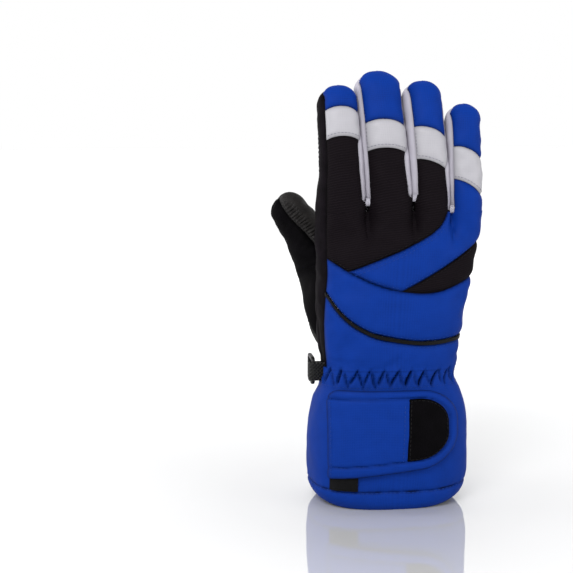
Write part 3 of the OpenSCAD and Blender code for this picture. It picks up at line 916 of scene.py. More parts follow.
def pile(name, colour, size_mm, sheen):
    """Fleece, loops or hooks: a soft tufted surface."""
    material, tree, shader = new_material(name, colour, 0.9, sheen, 0.5, 0.05)
    flat = cloth_place(tree)
    tufts = noise_at(tree, flat, 1000 / size_mm, 5, 0.7)
    mixed = weighted(tree, (tufts, 0.6), (noise_at(tree, flat, 80, 3), 0.4))
    colours = ramp(tree, mixed, (0.3, scaled(colour, 0.5)), (0.7, scaled(colour, 1.4)))
    tree.links.new(colours, shader.inputs["Base Color"])
    set_bump(tree, shader, tufts, 1.0, 0.0006)
    return material


def moulded(name, colour, rough):
    """Moulded plastic with a faint spark-eroded texture and uneven polish."""
    material, tree, shader = new_material(name, colour, rough, 0, 0.5, 0.3)
    place = cloth_place(tree, uv=False)
    fine = noise_at(tree, place, 3500, 3)
    cloud = noise_at(tree, place, 150, 3)
    colours = ramp(tree, cloud, (0.3, scaled(colour, 0.75)), (0.7, scaled(colour, 1.5)))
    tree.links.new(colours, shader.inputs["Base Color"])
    polish = maths(tree, "ADD", maths(tree, "MULTIPLY", fine, 0.2), rough - 0.1)
    tree.links.new(polish, shader.inputs["Roughness"])
    set_bump(tree, shader, fine, 0.25, 0.0002)
    return material


def thread(name, colour):
    """Sewing thread with twisted plies."""
    material, tree, shader = new_material(name, colour, 0.5, 0.0, 0.3, 0.12)
    plies = waves(tree, cloth_place(tree, turn=0.6, uv=False), "DIAGONAL", 3000, 0.5)
    colours = ramp(tree, plies, (0.2, scaled(colour, 0.75)), (0.8, scaled(colour, 1.2)))
    tree.links.new(colours, shader.inputs["Base Color"])
    set_bump(tree, shader, plies, 0.5, 0.0001)
    return material


BLUE = (0.0018, 0.0228, 0.183)
NYLON = woven("blue_nylon_cloth", BLUE, 0.5, 0.6, bump=0.22, vary=0.1, specular=0.045, shaded=0.9)
TWILL = twill("charcoal_twill", (0.0028, 0.0016, 0.0026), (0.006, 0.004, 0.0056), 0.7)
JERSEY = jersey("black_jersey_cloth", (0.0008, 0.0006, 0.001))
STRIP_JERSEY = jersey("charcoal_strip_cloth", (0.0032, 0.0022, 0.0034))
SATIN = woven("white_band_cloth", (0.315, 0.31, 0.333), 0.45, 0.5, 0.12, 0.04, 0.2, 0.4)
FOURCHETTE = woven("white_fourchette_cloth", (0.37, 0.355, 0.405), 0.45, 0.6, 0.15, 0.04, 0.15, 0.45)
EMBOSSED = leather(
    "embossed_leather_scales", (0.004, 0.0035, 0.004), (0.014, 0.0125, 0.0125), pitch_mm=2.4, rough=0.36,
    coat=0.2, stretch=1.25, depth_mm=0.35,
)
GRID = leather(
    "fine_grid_leather", (0.007, 0.006, 0.006), (0.02, 0.0175, 0.016), pitch_mm=1.1, rough=0.5,
    coat=0.0, stretch=1.0, depth_mm=0.15, specular=0.22,
)
PIPING = woven("piping_cord", (0.0012, 0.0012, 0.0014), 0.8, 0.5, 0.5, 0.2)
WEBBING = woven("webbing_yarn", (0.001, 0.001, 0.0012), 1.0, 0.5, 0.3, 0.15, 0.2)
LOOPS = pile("loop_pile", (0.0025, 0.0025, 0.003), 0.5, 0.05)
HOOKS = pile("hook_pile", (0.003, 0.003, 0.0035), 0.9, 0.05)
LINING = pile("cuff_lining_fleece", (0.005, 0.005, 0.0065), 0.8, 0.1)
FLEECE = pile("brushed_liner", (0.08, 0.08, 0.09), 0.7, 0.2)
WADDING = pile("wadding", (0.5, 0.5, 0.52), 2.0, 0.5)
FILM = woven("membrane_film", (0.25, 0.26, 0.28), 2.0, 0.3, 0.1, 0.05, 0.6)
ELASTIC = woven("elastic_braid", (0.4, 0.4, 0.41), 0.9, 0.6, 0.5, 0.1)
PLASTIC = moulded("clip_plastic_black", (0.0012, 0.0012, 0.0015), 0.45)
BLUE_THREAD = thread("blue_thread", (0.003, 0.026, 0.18))
BLACK_THREAD = thread("black_thread", (0.003, 0.003, 0.0035))
GREY_THREAD = thread("grey_thread", (0.16, 0.155, 0.19))
WHITE_THREAD = thread("white_thread", (0.36, 0.35, 0.4))


# ---------------------------------------------------------------- cuff, wrist and hand

hand = Hand()
PALM_STRIP = 0.912  # where the palm begins on the thumb side, as a share of the half width
FAR_STRIP = 3.0  # how far the little-finger side's strip reaches towards the back
LITTLE_STRIP = 0.274  # and towards the palm, as a share of the half depth
FAR_X = 20  # past it a point belongs to the little-finger side

# Seams of the back by place across it (0 at the side strip, 1 at the far side) and height
PIPING_SEAM = smooth_curve([[0, 137], [0.1, 125], [0.28, 113], [0.47, 108], [0.67, 105.5], [1, 107]])
BAND_SEAM = smooth_curve([[0.13, 152.6], [0.32, 144.5], [0.5, 140], [0.74, 139], [1, 147.5]])
KNUCKLE_POINTS = np.array([
    [0, 160.5], [0.06, 157], [0.125, 152.9], [0.135, 152.7], [0.2, 155], [0.3, 158.8], [0.48, 166],
    [0.58, 170.8], [0.66, 175.5], [0.72, 180.5], [0.75, 185], [0.765, 188], [0.78, 196], [1, 230],
])
PIPING_W = 2.2
# Where the diagonal band and the black triangle come to a point, as places across the back
BAND_POINT = 0.13
TRIANGLE_POINT = 0.5


def negative(field):
    return lambda q: -field(q)


def strip_at(z):
    """How far the side strip reaches onto the back: less and less towards the wrist."""
    return np.interp(z, [WRIST_TOP, 100, 118, 135, 150], [0.6, 1.0, 1.6, 3.0, 4.4])


def knuckle_seam(u):
    return np.interp(u, KNUCKLE_POINTS[:, 0], KNUCKLE_POINTS[:, 1])


def triangle_seam(u):
    """The triangle's upper edge."""
    t = (u - TRIANGLE_POINT) / (1 - TRIANGLE_POINT)
    return 140 + 30.5 * t - 1.5 * np.sin(math.pi * t)


def band_seam(u):
    """The middle panel's upper edge: the knuckle seam up to the band's point, then the band's lower seam."""
    return np.where(u < BAND_POINT, knuckle_seam(u), BAND_SEAM(u))


def diagonal_seam(u):
    """The diagonal band's lower edge, over the middle panel and then over the triangle."""
    return np.where(u < TRIANGLE_POINT, BAND_SEAM(u), triangle_seam(u))


def over_piping(u):
    return PIPING_SEAM(u) + PIPING_W


def across(q):
    """A point on the hand, its place across the back, and whether it is on the palm's half."""
    p = hand.at(q)
    left, right = left_at(q[:, 1]), right_at(q[:, 1])
    strip = strip_at(q[:, 1])
    u = (p[:, 0] - left - strip) / (right - left - strip)
    angle = np.mod(q[:, 0], 360)
    return p, np.clip(u, -0.2, 1), (angle > 0) & (angle < 180)


def on_back(q):
    """Distance inside the two edges of the back: the side strip's seam and the far side's."""
    p, _, palm = across(q)
    from_strip = p[:, 0] - left_at(q[:, 1]) - strip_at(q[:, 1])
    far_side = p[:, 0] > FAR_X
    far = np.where(far_side, -p[:, 1] - FAR_STRIP, NO_SEAM)
    return np.where(palm, np.where(far_side, far, -np.abs(p[:, 1]) - 1), np.minimum(from_strip * 1.2, far))


def above(curve):
    """Distance above a seam across the back. The seams run aslant, so it is less than the height."""
    return lambda q: (q[:, 1] - curve(across(q)[1])) * 0.9


def below(curve):
    return negative(above(curve))


def palm_start(q):
    """Distance inside the palm's edge on the thumb side."""
    p, _, palm = across(q)
    middle, half = middle_and_half(q[:, 1])
    return np.where(palm, (p[:, 0] - middle + PALM_STRIP * half) * 1.2, -5)


def palm_far(q):
    """Distance inside the palm's edge on the little finger's side."""
    p = hand.at(q)
    return np.where(p[:, 0] > FAR_X, p[:, 1] - depth_at(q[:, 1]) * LITTLE_STRIP, NO_SEAM)


def strip_thumb(q):
    """Distance inside the black strip on the thumb side."""
    p, _, palm = across(q)
    middle, half = middle_and_half(q[:, 1])
    edge = np.where(palm, middle - PALM_STRIP * half, left_at(q[:, 1]) + strip_at(q[:, 1]))
    return (edge - p[:, 0]) * 1.2


def strip_little(q):
    """Distance inside the black strip on the little finger's side."""
    p = hand.at(q)
    edge = depth_at(q[:, 1]) * LITTLE_STRIP
    return np.where(p[:, 0] > FAR_X, np.minimum(p[:, 1] + FAR_STRIP, edge - p[:, 1]), -5)


def palm_seam(q):
    """Height of the seam across the palm, by the angle round the hand."""
    return mix(160, 173, np.clip((np.mod(q[:, 0], 360) - 10.4) / (151.6 - 10.4), 0, 1))


def from_z(z):
    return lambda q: q[:, 1] - z


def to_z(z):
    return negative(from_z(z))


cuff_hem = Panel(hand, [], [to_z(HEM_TOP)], thick=1.8, lift=0.3)
cuff_cloth = Panel(hand, [], [from_z(HEM_TOP), to_z(CUFF_TOP)], thick=1.0, lift=0.3)
gathered = Panel(hand, [], [from_z(CUFF_TOP), to_z(WRIST_TOP)], thick=1.0, lift=0.3)
lower_back = Panel(hand, [on_back, below(PIPING_SEAM)], [from_z(WRIST_TOP)], puff=0.9)
piping = Panel(hand, [], [on_back, above(PIPING_SEAM), below(over_piping)], lift=0.5)
mid_back = Panel(hand, [on_back, above(over_piping), below(band_seam)], puff=1.1)
diagonal = Panel(
    hand, [on_back, above(diagonal_seam), below(knuckle_seam)],
    [lambda q: (across(q)[1] - BAND_POINT) * 80, to_z(JOIN_Z)], puff=1.0,
)
triangle = Panel(
    hand, [on_back, above(BAND_SEAM), below(triangle_seam)],
    [lambda q: (across(q)[1] - TRIANGLE_POINT) * 80], puff=0.9,
)
knuckles = Panel(hand, [on_back, above(knuckle_seam)], [to_z(JOIN_Z)], puff=0.9)
thumb_strip = Panel(hand, [strip_thumb], [from_z(WRIST_TOP), to_z(JOIN_Z)], puff=0.6)
little_strip = Panel(hand, [strip_little], [from_z(WRIST_TOP), to_z(JOIN_Z)], puff=0.4)
palm_low = Panel(
    hand, [palm_start, palm_far, lambda q: (palm_seam(q) - q[:, 1]) * 0.95], [from_z(WRIST_TOP)],
    puff=0.7, pucker=0.4,
)
palm_high = Panel(
    hand, [palm_start, palm_far, lambda q: (q[:, 1] - palm_seam(q)) * 0.95], [to_z(JOIN_Z)],
    puff=0.9, pucker=0.4,
)

press_out(hand, [lower_back, mid_back, diagonal, triangle, knuckles, thumb_strip, palm_low, palm_high])
for panel, piece_name, material, node, fill in [
    (cuff_hem, "cuff_hem_cloth", NYLON, "cuff_hem", 0.3),
    (cuff_cloth, "cuff_cloth", NYLON, "cuff_shell", 0.5),
    (gathered, "gathered_wrist_cloth", NYLON, "gathered_wrist", 0.6),
    (lower_back, "lower_back_cloth", NYLON, "lower_back_panel", 0.6),
    (piping, "back_piping_cord", PIPING, "back_piping", None),
    (mid_back, "mid_back_cloth", NYLON, "mid_back_panel", 0.7),
    (diagonal, "diagonal_band_cloth", NYLON, "diagonal_band", 0.7),
    (triangle, "side_triangle_cloth", TWILL, "side_triangle", 0.6),
    (knuckles, "knuckle_cloth", TWILL, "knuckle_panel", 0.6),
    (thumb_strip, "thumb_side_strip_cloth", STRIP_JERSEY, "thumb_side_strip", 0.5),
    (little_strip, "little_side_strip_cloth", STRIP_JERSEY, "little_side_strip", 0.5),
    (palm_low, "palm_leather", GRID, "palm_panel", 0.5),
    (palm_high, "palm_reinforcement_leather", EMBOSSED, "palm_reinforcement", 0.6),
]:
    panel.build(piece_name, material, "hand", node, fill)

# Layers inside, seen only through the mouth: from and to a height, and between two depths
for piece_name, bottom, top, outer, inner, material, node in [
    ("cuff_lining_cloth", 1.5, CUFF_TOP, -1.9, -3.0, LINING, "cuff_lining"),
    ("wrist_elastic_braid", CUFF_TOP + 3, WRIST_TOP - 2, -3.2, -4.2, ELASTIC, "wrist_elastic"),
    ("hand_wadding", WRIST_TOP + 1, JOIN_Z, -2.6, -4.7, WADDING, "hand_insulation"),
    ("hand_membrane_film", CUFF_TOP + 1, JOIN_Z, -4.9, -5.3, FILM, "hand_membrane"),
    ("hand_liner_fleece", CUFF_TOP, JOIN_Z, -5.5, -6.4, FLEECE, "hand_liner"),
]:
    layer(piece_name, hand, [from_z(bottom), to_z(top)], outer, inner, material, "hand", node)

# ---------------------------------------------------------------- fingers


def finger_fields(surface, name):
    """Distances to a finger's seams, by the depth of a point in its section (+ towards the palm)."""
    f = surface.f
    per_depth = 1.15  # distance along the cloth for each millimetre of depth

    def seam_depths(q):
        """Whether a point is on the thumb side of the finger, and the depths of the two seams there."""
        z, along, wide, deep = surface.section(q)
        root = 1 - smoothstep(along, 0, 0.3)
        tip = smoothstep(z, f["top"] - 15, f["top"] - 1)
        angle = np.mod(q[:, 0], 360)
        near = (angle > 90) & (angle < 270)
        # Above the white band the far seam is out of sight, round the side
        far = mix(f["far"], max(f["far"], -6), smoothstep(z, f["band"][0] - 5, f["band"][0] + 6))
        back = np.where(near, f["near"], far)
        palm = np.where(near, f["near"] + 13.5, max(f["far"], -6) + 9.0)
        if name == "index":
            palm = np.where(near, mix(4.5, 12.4, root), palm)
            back = np.where(near, mix(back, -12.2, root), back)
        if name == "little":
            palm = np.where(near, palm, mix(palm, depth_at(JOIN_Z) * LITTLE_STRIP, root))
            back = np.where(near, back, mix(back, -FAR_STRIP, root))
        # Below the crotch the back panel reaches down into the dip between two fingers
        for side, height in zip((near, ~near), f["crotches"]):
            if height:
                open_at = smoothstep(z, height - 0.8, height + 1.5)
                back = np.where(side, mix(-2.0, back, open_at), back)
        # Over the tip the back's seam runs straight on while the section shrinks under it
        p = 2 / FINGER_ROUNDNESS
        offset = f["w1"] * (1 - np.abs(back / f["deep"]) ** p) ** (1 / p)
        share = np.clip(offset / np.maximum(wide, 0.1), 0, np.where(near, 0.93, 1))
        left = (1 - share**p) ** (1 / p)
        full = np.abs(back) / f["deep"]
        turned = 1.5 * (1 - left / full) - deep * left
        back = np.where(z > f["top"] - DOME, turned, back)
        return near, back, mix(palm, 5.5, tip)

    def depth(q):
        return surface.parts(q)[3]

    def side(q):
        _, b, p = seam_depths(q)
        return np.minimum(depth(q) - b, p - depth(q)) * per_depth

    def band_height(q, which):
        """Height of the white band's lower (0) or upper (1) seam."""
        x = surface.parts(q)[2]
        slant = f["slant"] * (1, 0.7)[which]
        return f["band"][which] + slant * x - 2.4 * (x / f["w1"]) ** 2 + 0.8

    return dict(
        back=lambda q: (seam_depths(q)[1] - depth(q)) * per_depth,
        palm=lambda q: (depth(q) - seam_depths(q)[2]) * per_depth,
        side=side,
        near=lambda q: -surface.parts(q)[2],
        far=lambda q: surface.parts(q)[2],
        over_back=lambda q: surface.parts(q)[0] - band_height(q, 0),
        over_band=lambda q: surface.parts(q)[0] - band_height(q, 1),
    )


def line_where(field, a_range, b_range, along_b=True, count=160):
    """Parameters of the line where a field changes sign, found row by row (or column by column)."""
    rows = np.linspace(*(b_range if along_b else a_range), count)
    tries = np.linspace(*(a_range if along_b else b_range), 90)
    found = []
    for row in rows:
        q = np.array([[t, row] if along_b else [row, t] for t in tries])
        v = field(q)
        hits = np.nonzero(np.diff(np.sign(v)))[0]
        if len(hits):
            k = hits[0]
            t = tries[k] + (tries[k + 1] - tries[k]) * v[k] / (v[k] - v[k + 1])
            found.append([t, row] if along_b else [row, t])
    return np.array(found)


finger_surfaces = {name: Finger(f) for name, f in FINGERS.items()}


def padded_layers(name, surface, body):
    """The wadding and the liner of a finger or the thumb."""
    layer(name + "_wadding", surface, [], -2.6, -4.0, WADDING, body, name + "_insulation")
    layer(name + "_liner_fleece", surface, [], -4.2, -5.0, FLEECE, body, name + "_liner")


def finger_pieces(name):
    f, surface = FINGERS[name], finger_surfaces[name]
    s = finger_fields(surface, name)
    bend = ("hand", name + "_finger", [f["x0"] * MM, 0, JOIN_Z * MM], [f["x0"] * MM, 0, BEND_END * MM])
    tip = Panel(surface, [s["back"], s["over_band"]], puff=0.9, reach=2.2)
    band = Panel(surface, [s["back"], negative(s["over_band"]), s["over_back"]], reach=1.8, lift=0.15)
    back = Panel(surface, [s["back"], negative(s["over_back"])], puff=0.9, reach=2.2)
    palm = Panel(surface, [s["palm"]], puff=0.9, reach=2.2, pucker=0.45)
    press_out(surface, [tip, band, back, palm], most=0.6)
    tip.build(name + "_tip_cloth", NYLON, bend, name + "_tip_panel", 0.8)
    band.build(name + "_band_cloth", SATIN, bend, name + "_white_band", 0.7)
    back.build(name + "_back_cloth", NYLON if name == "little" else TWILL, bend, name + "_back_panel", 0.7)
    palm.build(name + "_palm_leather", EMBOSSED, bend, name + "_palm_panel", 0.7)
    if name in ("middle", "ring"):
        side = Panel(surface, [s["side"]], puff=0.6, reach=1.6)
        side.build(name + "_fourchettes_cloth", FOURCHETTE, bend, name + "_fourchettes", 0.6)
    else:
        inner, outer, strip = ("far", "near", "index_side_strip")
        if name == "little":
            inner, outer, strip = ("near", "far", "little_outer_strip")
        white = Panel(surface, [s["side"]], [s[inner]], puff=0.6, reach=1.6)
        black = Panel(surface, [s["side"]], [s[outer]], puff=0.6, reach=1.6)
        white.build(name + "_fourchette_cloth", FOURCHETTE, bend, name + "_fourchette", 0.6)
        black.build(strip + "_cloth", STRIP_JERSEY, bend, strip, 0.6)
    padded_layers(name, surface, bend)
    finger_stitching(name, surface, s, tip, band, palm, bend)


def finger_stitching(name, surface, s, tip, band, palm, bend):
    """Rows of thread above the white band's lower seam, beside its near one, and along the palm's."""
    q = line_where(lambda q: s["over_back"](q) - 1.7, (190, 350), (0.1, 0.9), along_b=False, count=70)
    rows = [band.top(q[(band.distance(q) > 0.9) & (s["back"](q) > 1.2)])]
    if name in ("middle", "ring"):
        q = line_where(lambda q: s["back"](q) - 1.1, (185, 268), (0.1, 0.9))
        rows.append(band.top(q[(s["over_back"](q) > 1.5) & (s["over_band"](q) < -1.5)]))
        tip_row = tip.top(q[s["over_band"](q) > 1.5])
        stitches(name + "_tip_stitches", [tip_row], BLUE_THREAD, bend, pitch=2.2, radius=0.2)
    stitches(name + "_band_stitches", rows, GREY_THREAD, bend, pitch=2.3, radius=0.19)
    rows = []
    for a_range in ((22, 89), (91, 158)):
        q = line_where(lambda q: s["palm"](q) - 1.5, a_range, (0.03, 0.9), count=130)
        if len(q) > 4:
            rows.append(palm.top(q))
    stitches(name + "_palm_stitches", rows, BLACK_THREAD, bend, radius=0.22)


for finger_name in FINGERS:
    finger_pieces(finger_name)


def crotch(left_name, right_name, z, y_front):
    """The small saddle of white cloth between two fingers' roots, with a bar tack at its back end."""
    a, b = FINGERS[left_name], FINGERS[right_name]
    x0, x1 = a["x0"] + a["w0"], b["x0"] - b["w0"]
    cols, rows = 13, 25
    share, y = grid_points(np.linspace(0, 1, cols), np.linspace(-y_front, y_front, rows)).T
    x = mix(x0 - 2.4, x1 + 2.4, share)
    saddle = 2.6 * (2 * share - 1) ** 2 - 0.8 * np.abs(y / y_front) ** 4 + 0.15 * np.sin(y * 1.9)
    outer = np.stack([x, y, z + saddle], 1)
    name = left_name + "_" + right_name
    slab(name + "_crotch_cloth", outer, outer - [0, 0, 1.0], grid_faces(cols, rows), FOURCHETTE, "hand",
         outer[:, :2] * MM)
    tack = []
    for k in range(5):
        tack_x = (x0 + x1) / 2 + (k - 2) * 0.55
        line = np.array([[tack_x, -y_front - 0.6, z + dz] for dz in (-2.6, -1.3, 0.0, 1.3, 2.6)])
        tack.append((line, np.tile([0, -1.0, 0], (5, 1))))
    stitches(name + "_bar_tack", tack, WHITE_THREAD, "hand", pitch=4.9, share=0.95,
             radius=0.3, sink=0.5)


crotch("index", "middle", 196.5, 9.3)
crotch("middle", "ring", 199, 9.3)
crotch("ring", "little", 191.5, 9.5)

# ---------------------------------------------------------------- thumb

thumb = Thumb(hand)
THUMB_BEND = ("hand", "thumb", [-37 * MM, 21 * MM, 112 * MM], [-48 * MM, 37 * MM, 183 * MM])
THUMB_SEAM = 140  # angle of the back panel's seam on the palm side
THUMB_RADIUS = 14.5  # of the middle of its rings, for distances round them


def thumb_back_field(q):
    """Distance inside the two seams of the thumb's back panel."""
    angle = np.mod(q[:, 0], 360)
    turn = np.clip(q[:, 1] - 4, 0, 1) * math.pi / 2
    radius = THUMB_RADIUS * np.cos(turn)
    return np.minimum(angle - THUMB_SEAM, thumb_front_seam(q[:, 1]) - angle) * radius * math.pi / 180


def thumb_root_seam(q):
    """Distance from the seam where the thumb leaves the palm."""
    return q[:, 1] * 20


thumb_back = Panel(thumb, [thumb_back_field, thumb_root_seam], puff=0.6)
thumb_palm = Panel(thumb, [negative(thumb_back_field), thumb_root_seam], puff=0.9, pucker=0.6)
press_out(thumb, [thumb_back, thumb_palm], most=0.6)
thumb_back.build("thumb_back_cloth", JERSEY, THUMB_BEND, "thumb_back_panel", 0.7)
thumb_palm.build("thumb_palm_leather", GRID, THUMB_BEND, "thumb_palm_panel", 0.7)
padded_layers("thumb", thumb, THUMB_BEND)
along = np.linspace(0.2, 4.7, 110)
rows = [
    thumb_palm.top(np.stack([seam + shift, along], 1))
    for seam, shift in ((np.full(110, THUMB_SEAM), -6), (thumb_front_seam(along), 6))
]
stitches("thumb_stitches", rows, BLACK_THREAD, THUMB_BEND, radius=0.22)

# ---------------------------------------------------------------- flap

FLAP_IN = 1.6  # gap between the cuff and the flap
FLAP_T = 2.4
FLAP_RISE = 9.5  # how far its lower edge rises towards the free end
FLAP_MID_Z = 50
PATCH_X, PATCH_SLANT = 7.2, 0.045  # the grip patch's left edge at the flap's mid height, and its lean
CHANNEL_IN = 5.6  # from the flap's edge to its border seam
FLAP_LEFT, FLAP_RIGHT = low("wrist_flap")[0] + 0.5, high("wrist_flap")[0]
FLAP_LOW, FLAP_HIGH = low("wrist_flap")[2], high("wrist_flap")[2] + 0.8
flap_surface = Wrap((FLAP_LEFT - 0.5, FLAP_RIGHT + 1), (FLAP_LOW - 1, FLAP_HIGH + 1), 1.15)


def rounded_box(x, z, left, right, bottom, top, radii):
    """Distance inside a box with these corner radii: top left, bottom left, and both on the right."""
    middle_x, middle_z = (left + right) / 2, (bottom + top) / 2
    radius = np.where(x > middle_x, radii[2], np.where(z > middle_z, radii[0], radii[1]))
    dx = np.abs(x - middle_x) - ((right - left) / 2 - radius)
    dz = np.abs(z - middle_z) - ((top - bottom) / 2 - radius)
    outside = np.hypot(np.clip(dx, 0, None), np.clip(dz, 0, None))
    return radius - outside - np.clip(np.maximum(dx, dz), None, 0)


def flap_outline(q, left=FLAP_LEFT):
    """Distance inside the flap, whose lower edge rises towards the free end."""
    x, z = q[:, 0], q[:, 1]
    rise = FLAP_RISE * np.clip((x - FLAP_LEFT) / (FLAP_RIGHT - FLAP_LEFT), 0, 1)
    z = FLAP_HIGH - (FLAP_HIGH - z) * (FLAP_HIGH - FLAP_LOW) / (FLAP_HIGH - FLAP_LOW - rise)
    return rounded_box(x, z, left, FLAP_RIGHT, FLAP_LOW, FLAP_HIGH, (8.0, 2.0, 24.0))


def flap_border(q):
    """Distance inside the three free sides, a little less along the lower one, for the border's seam."""
    low_part = 1 - smoothstep(q[:, 1], 30, 50)
    return flap_outline(q, left=FLAP_LEFT - 60) - 1.9 * low_part


def patch_left(z):
    return PATCH_X + (z - FLAP_MID_Z) * PATCH_SLANT


def patch_outline(q):
    """The D-shaped patch: a slanted left edge, and a right side that follows the flap's end."""
    return np.minimum(flap_border(q + [1.2, 0]) - 5.8, q[:, 0] - patch_left(q[:, 1]))


flap = Panel(
    flap_surface, [flap_outline], lift=FLAP_IN + FLAP_T - 0.2, puff=0.6, reach=1.3, thick=FLAP_T - 0.6,
    pucker=0.35, channel=(CHANNEL_IN, 1.4, 0.8, flap_border),
)
# The hand and the flap, with two points 8.5 mm apart beside the flap's hinge
flap_bend = ("hand", "flap", [(FLAP_LEFT + 0.5) * MM, -0.031, 0.049], [(FLAP_LEFT + 9) * MM, -0.033, 0.049])
flap.build("wrist_flap_cloth", NYLON, flap_bend, "wrist_flap", 0.6)
patch_surface = Wrap((6, FLAP_RIGHT), (FLAP_LOW + 3, FLAP_HIGH - 3), 1.0)
patch = Panel(patch_surface, [patch_outline], lift=FLAP_IN + FLAP_T + 1.1, puff=0.4, reach=0.8, thick=0.4,
              pucker=0.2)
patch.build("flap_grip_patch_cloth", JERSEY, "flap", "flap_grip_patch")
hook = Panel(Wrap((-20, 20), (31, 67), 2.0), lift=FLAP_IN - 0.1, thick=0.8)
hook.build("flap_hook_tape_pile", HOOKS, "flap", "flap_hook_tape")
tape_x = (low("cuff_loop_tape")[0] - 2.4, high("cuff_loop_tape")[0] - 1)
tape = Panel(Wrap(tape_x, (13.2, 72), 1.3), lift=1.75, thick=1.4)  # lies on the cuff's swollen cloth
tape.build("cuff_loop_tape_pile", LOOPS, "hand", "cuff_loop_tape")


def outline_row(field, centre, count=220):
    """The closed line where a field is 0, found along rays from a centre."""
    found = []
    for t in np.linspace(0, 2 * math.pi, count):
        ray = np.array([math.cos(t), math.sin(t)])
        r = np.linspace(0, 60, 240)
        v = field(centre + r[:, None] * ray)
        k = int(np.argmax(v <= 0))
        if k:
            found.append(centre + ray * (r[k - 1] + (r[k] - r[k - 1]) * v[k - 1] / (v[k - 1] - v[k])))
    return np.array(found)


# The border's stitches stop at the patch and before the sewn side
border_row = outline_row(lambda q: flap_border(q) - CHANNEL_IN, (0, 50))
border_row = border_row[(patch_outline(border_row) < -0.8) & (border_row[:, 0] > FLAP_LEFT + 2)]
gaps = np.nonzero(np.linalg.norm(np.diff(border_row, axis=0), axis=1) > 4)[0]
beside_patch = np.array([[patch_left(z) - 2.4, z] for z in np.linspace(FLAP_LOW + 12, FLAP_HIGH - 7, 40)])
rows = [flap.top(row) for row in [*np.split(border_row, gaps + 1), beside_patch] if len(row) > 3]
stitches("flap_stitches", rows, BLUE_THREAD, "flap", pitch=2.9, radius=0.24)
patch_row = patch.top(outline_row(lambda q: patch_outline(q) - 1.4, (20, 52)))
stitches("flap_patch_stitches", [patch_row], BLACK_THREAD, "flap", pitch=2.8, radius=0.22)
edge_row = flap.top(np.array([[FLAP_LEFT + 2.2, z] for z in np.linspace(FLAP_LOW + 3, FLAP_HIGH - 5, 60)]))
stitches("flap_edge_stitches", [edge_row], BLUE_THREAD, "hand", pitch=2.6, radius=0.24)

# ---------------------------------------------------------------- stitching on the hand


def back_line(curve, u0, u1, shift, count=120):
    """Parameters of a line across the back, above a seam by shift."""
    found = []
    for u in np.linspace(u0, u1, count):
        z = float(curve(np.array([u]))[0]) + shift
        middle, half = middle_and_half(z)
        strip = strip_at(z)
        x = middle - half + strip + u * (2 * half - strip)
        c = np.clip((x - middle) / half, -1, 1)
        found.append([360 - math.degrees(math.acos(signed_power(c, 1 / ROUNDNESS))), z])
    return np.array(found)


rows = [
    panel.top(back_line(curve, *reach)) for panel, curve, reach in [
        (diagonal, knuckle_seam, (0.165, 0.755, -1.7)),
        (diagonal, knuckle_seam, (0.175, 0.755, -3.9)),
        (diagonal, diagonal_seam, (0.19, 0.5, 1.6)),
        (diagonal, triangle_seam, (0.52, 0.97, 1.6)),
        (mid_back, over_piping, (0.03, 0.97, 1.5)),
        (lower_back, PIPING_SEAM, (0.03, 0.97, -1.6)),
    ]
]
stitches("back_stitches", rows, BLUE_THREAD, "hand", pitch=2.9, radius=0.22)
rows = [
    triangle.top(back_line(triangle_seam, 0.62, 0.96, -1.6)),
    knuckles.top(back_line(knuckle_seam, 0.03, 0.74, 1.6)),
]
stitches("twill_stitches", rows, BLACK_THREAD, "hand", pitch=2.9, radius=0.22)
seam_row = np.array([[a, palm_seam(np.array([[a, 0]]))[0]] for a in np.linspace(14, 146, 150)])
shifts = ((1.5, palm_high), (4.0, palm_high), (-1.5, palm_low))
rows = [panel.top(seam_row + [0, shift]) for shift, panel in shifts]
stitches("palm_stitches", rows, BLACK_THREAD, "hand", radius=0.24)
hem_row = cuff_hem.top(np.array([[a, HEM_TOP - 0.6] for a in hand.a_values]))
stitches("hem_stitches", [hem_row], BLUE_THREAD, "hand", radius=0.24)
rows = [
    gathered.top(np.array([[a, z] for a in np.linspace(10, 370, 720)]))
    for z in (CUFF_TOP + 4.2, WRIST_TOP - 3.5)
]
stitches("gather_stitches", rows, BLUE_THREAD, "hand", pitch=2.4, radius=0.2)

# ---------------------------------------------------------------- webbing and clip

BAR_X, BAR_Y = low("clip_webbing")[0] + 2.9, -3.0  # where the clip's bar is
CLIP_Z = (low("clip_frame")[2] + high("clip_frame")[2]) / 2
ARM_Z = (high("clip_frame")[2] - low("clip_frame")[2]) / 2 - 1.3
REACH = high("clip_frame")[1] - low("clip_frame")[1] - 2.6
WEB_R, WEB_T, WEB_W = 2.3, 1.3, 12.0
WEB_END = -40.6  # x of its sewn ends
WEB_STEP = 0.32
WEAVE = 2 * math.pi / 2.4  # the weave repeats every 2.4 mm


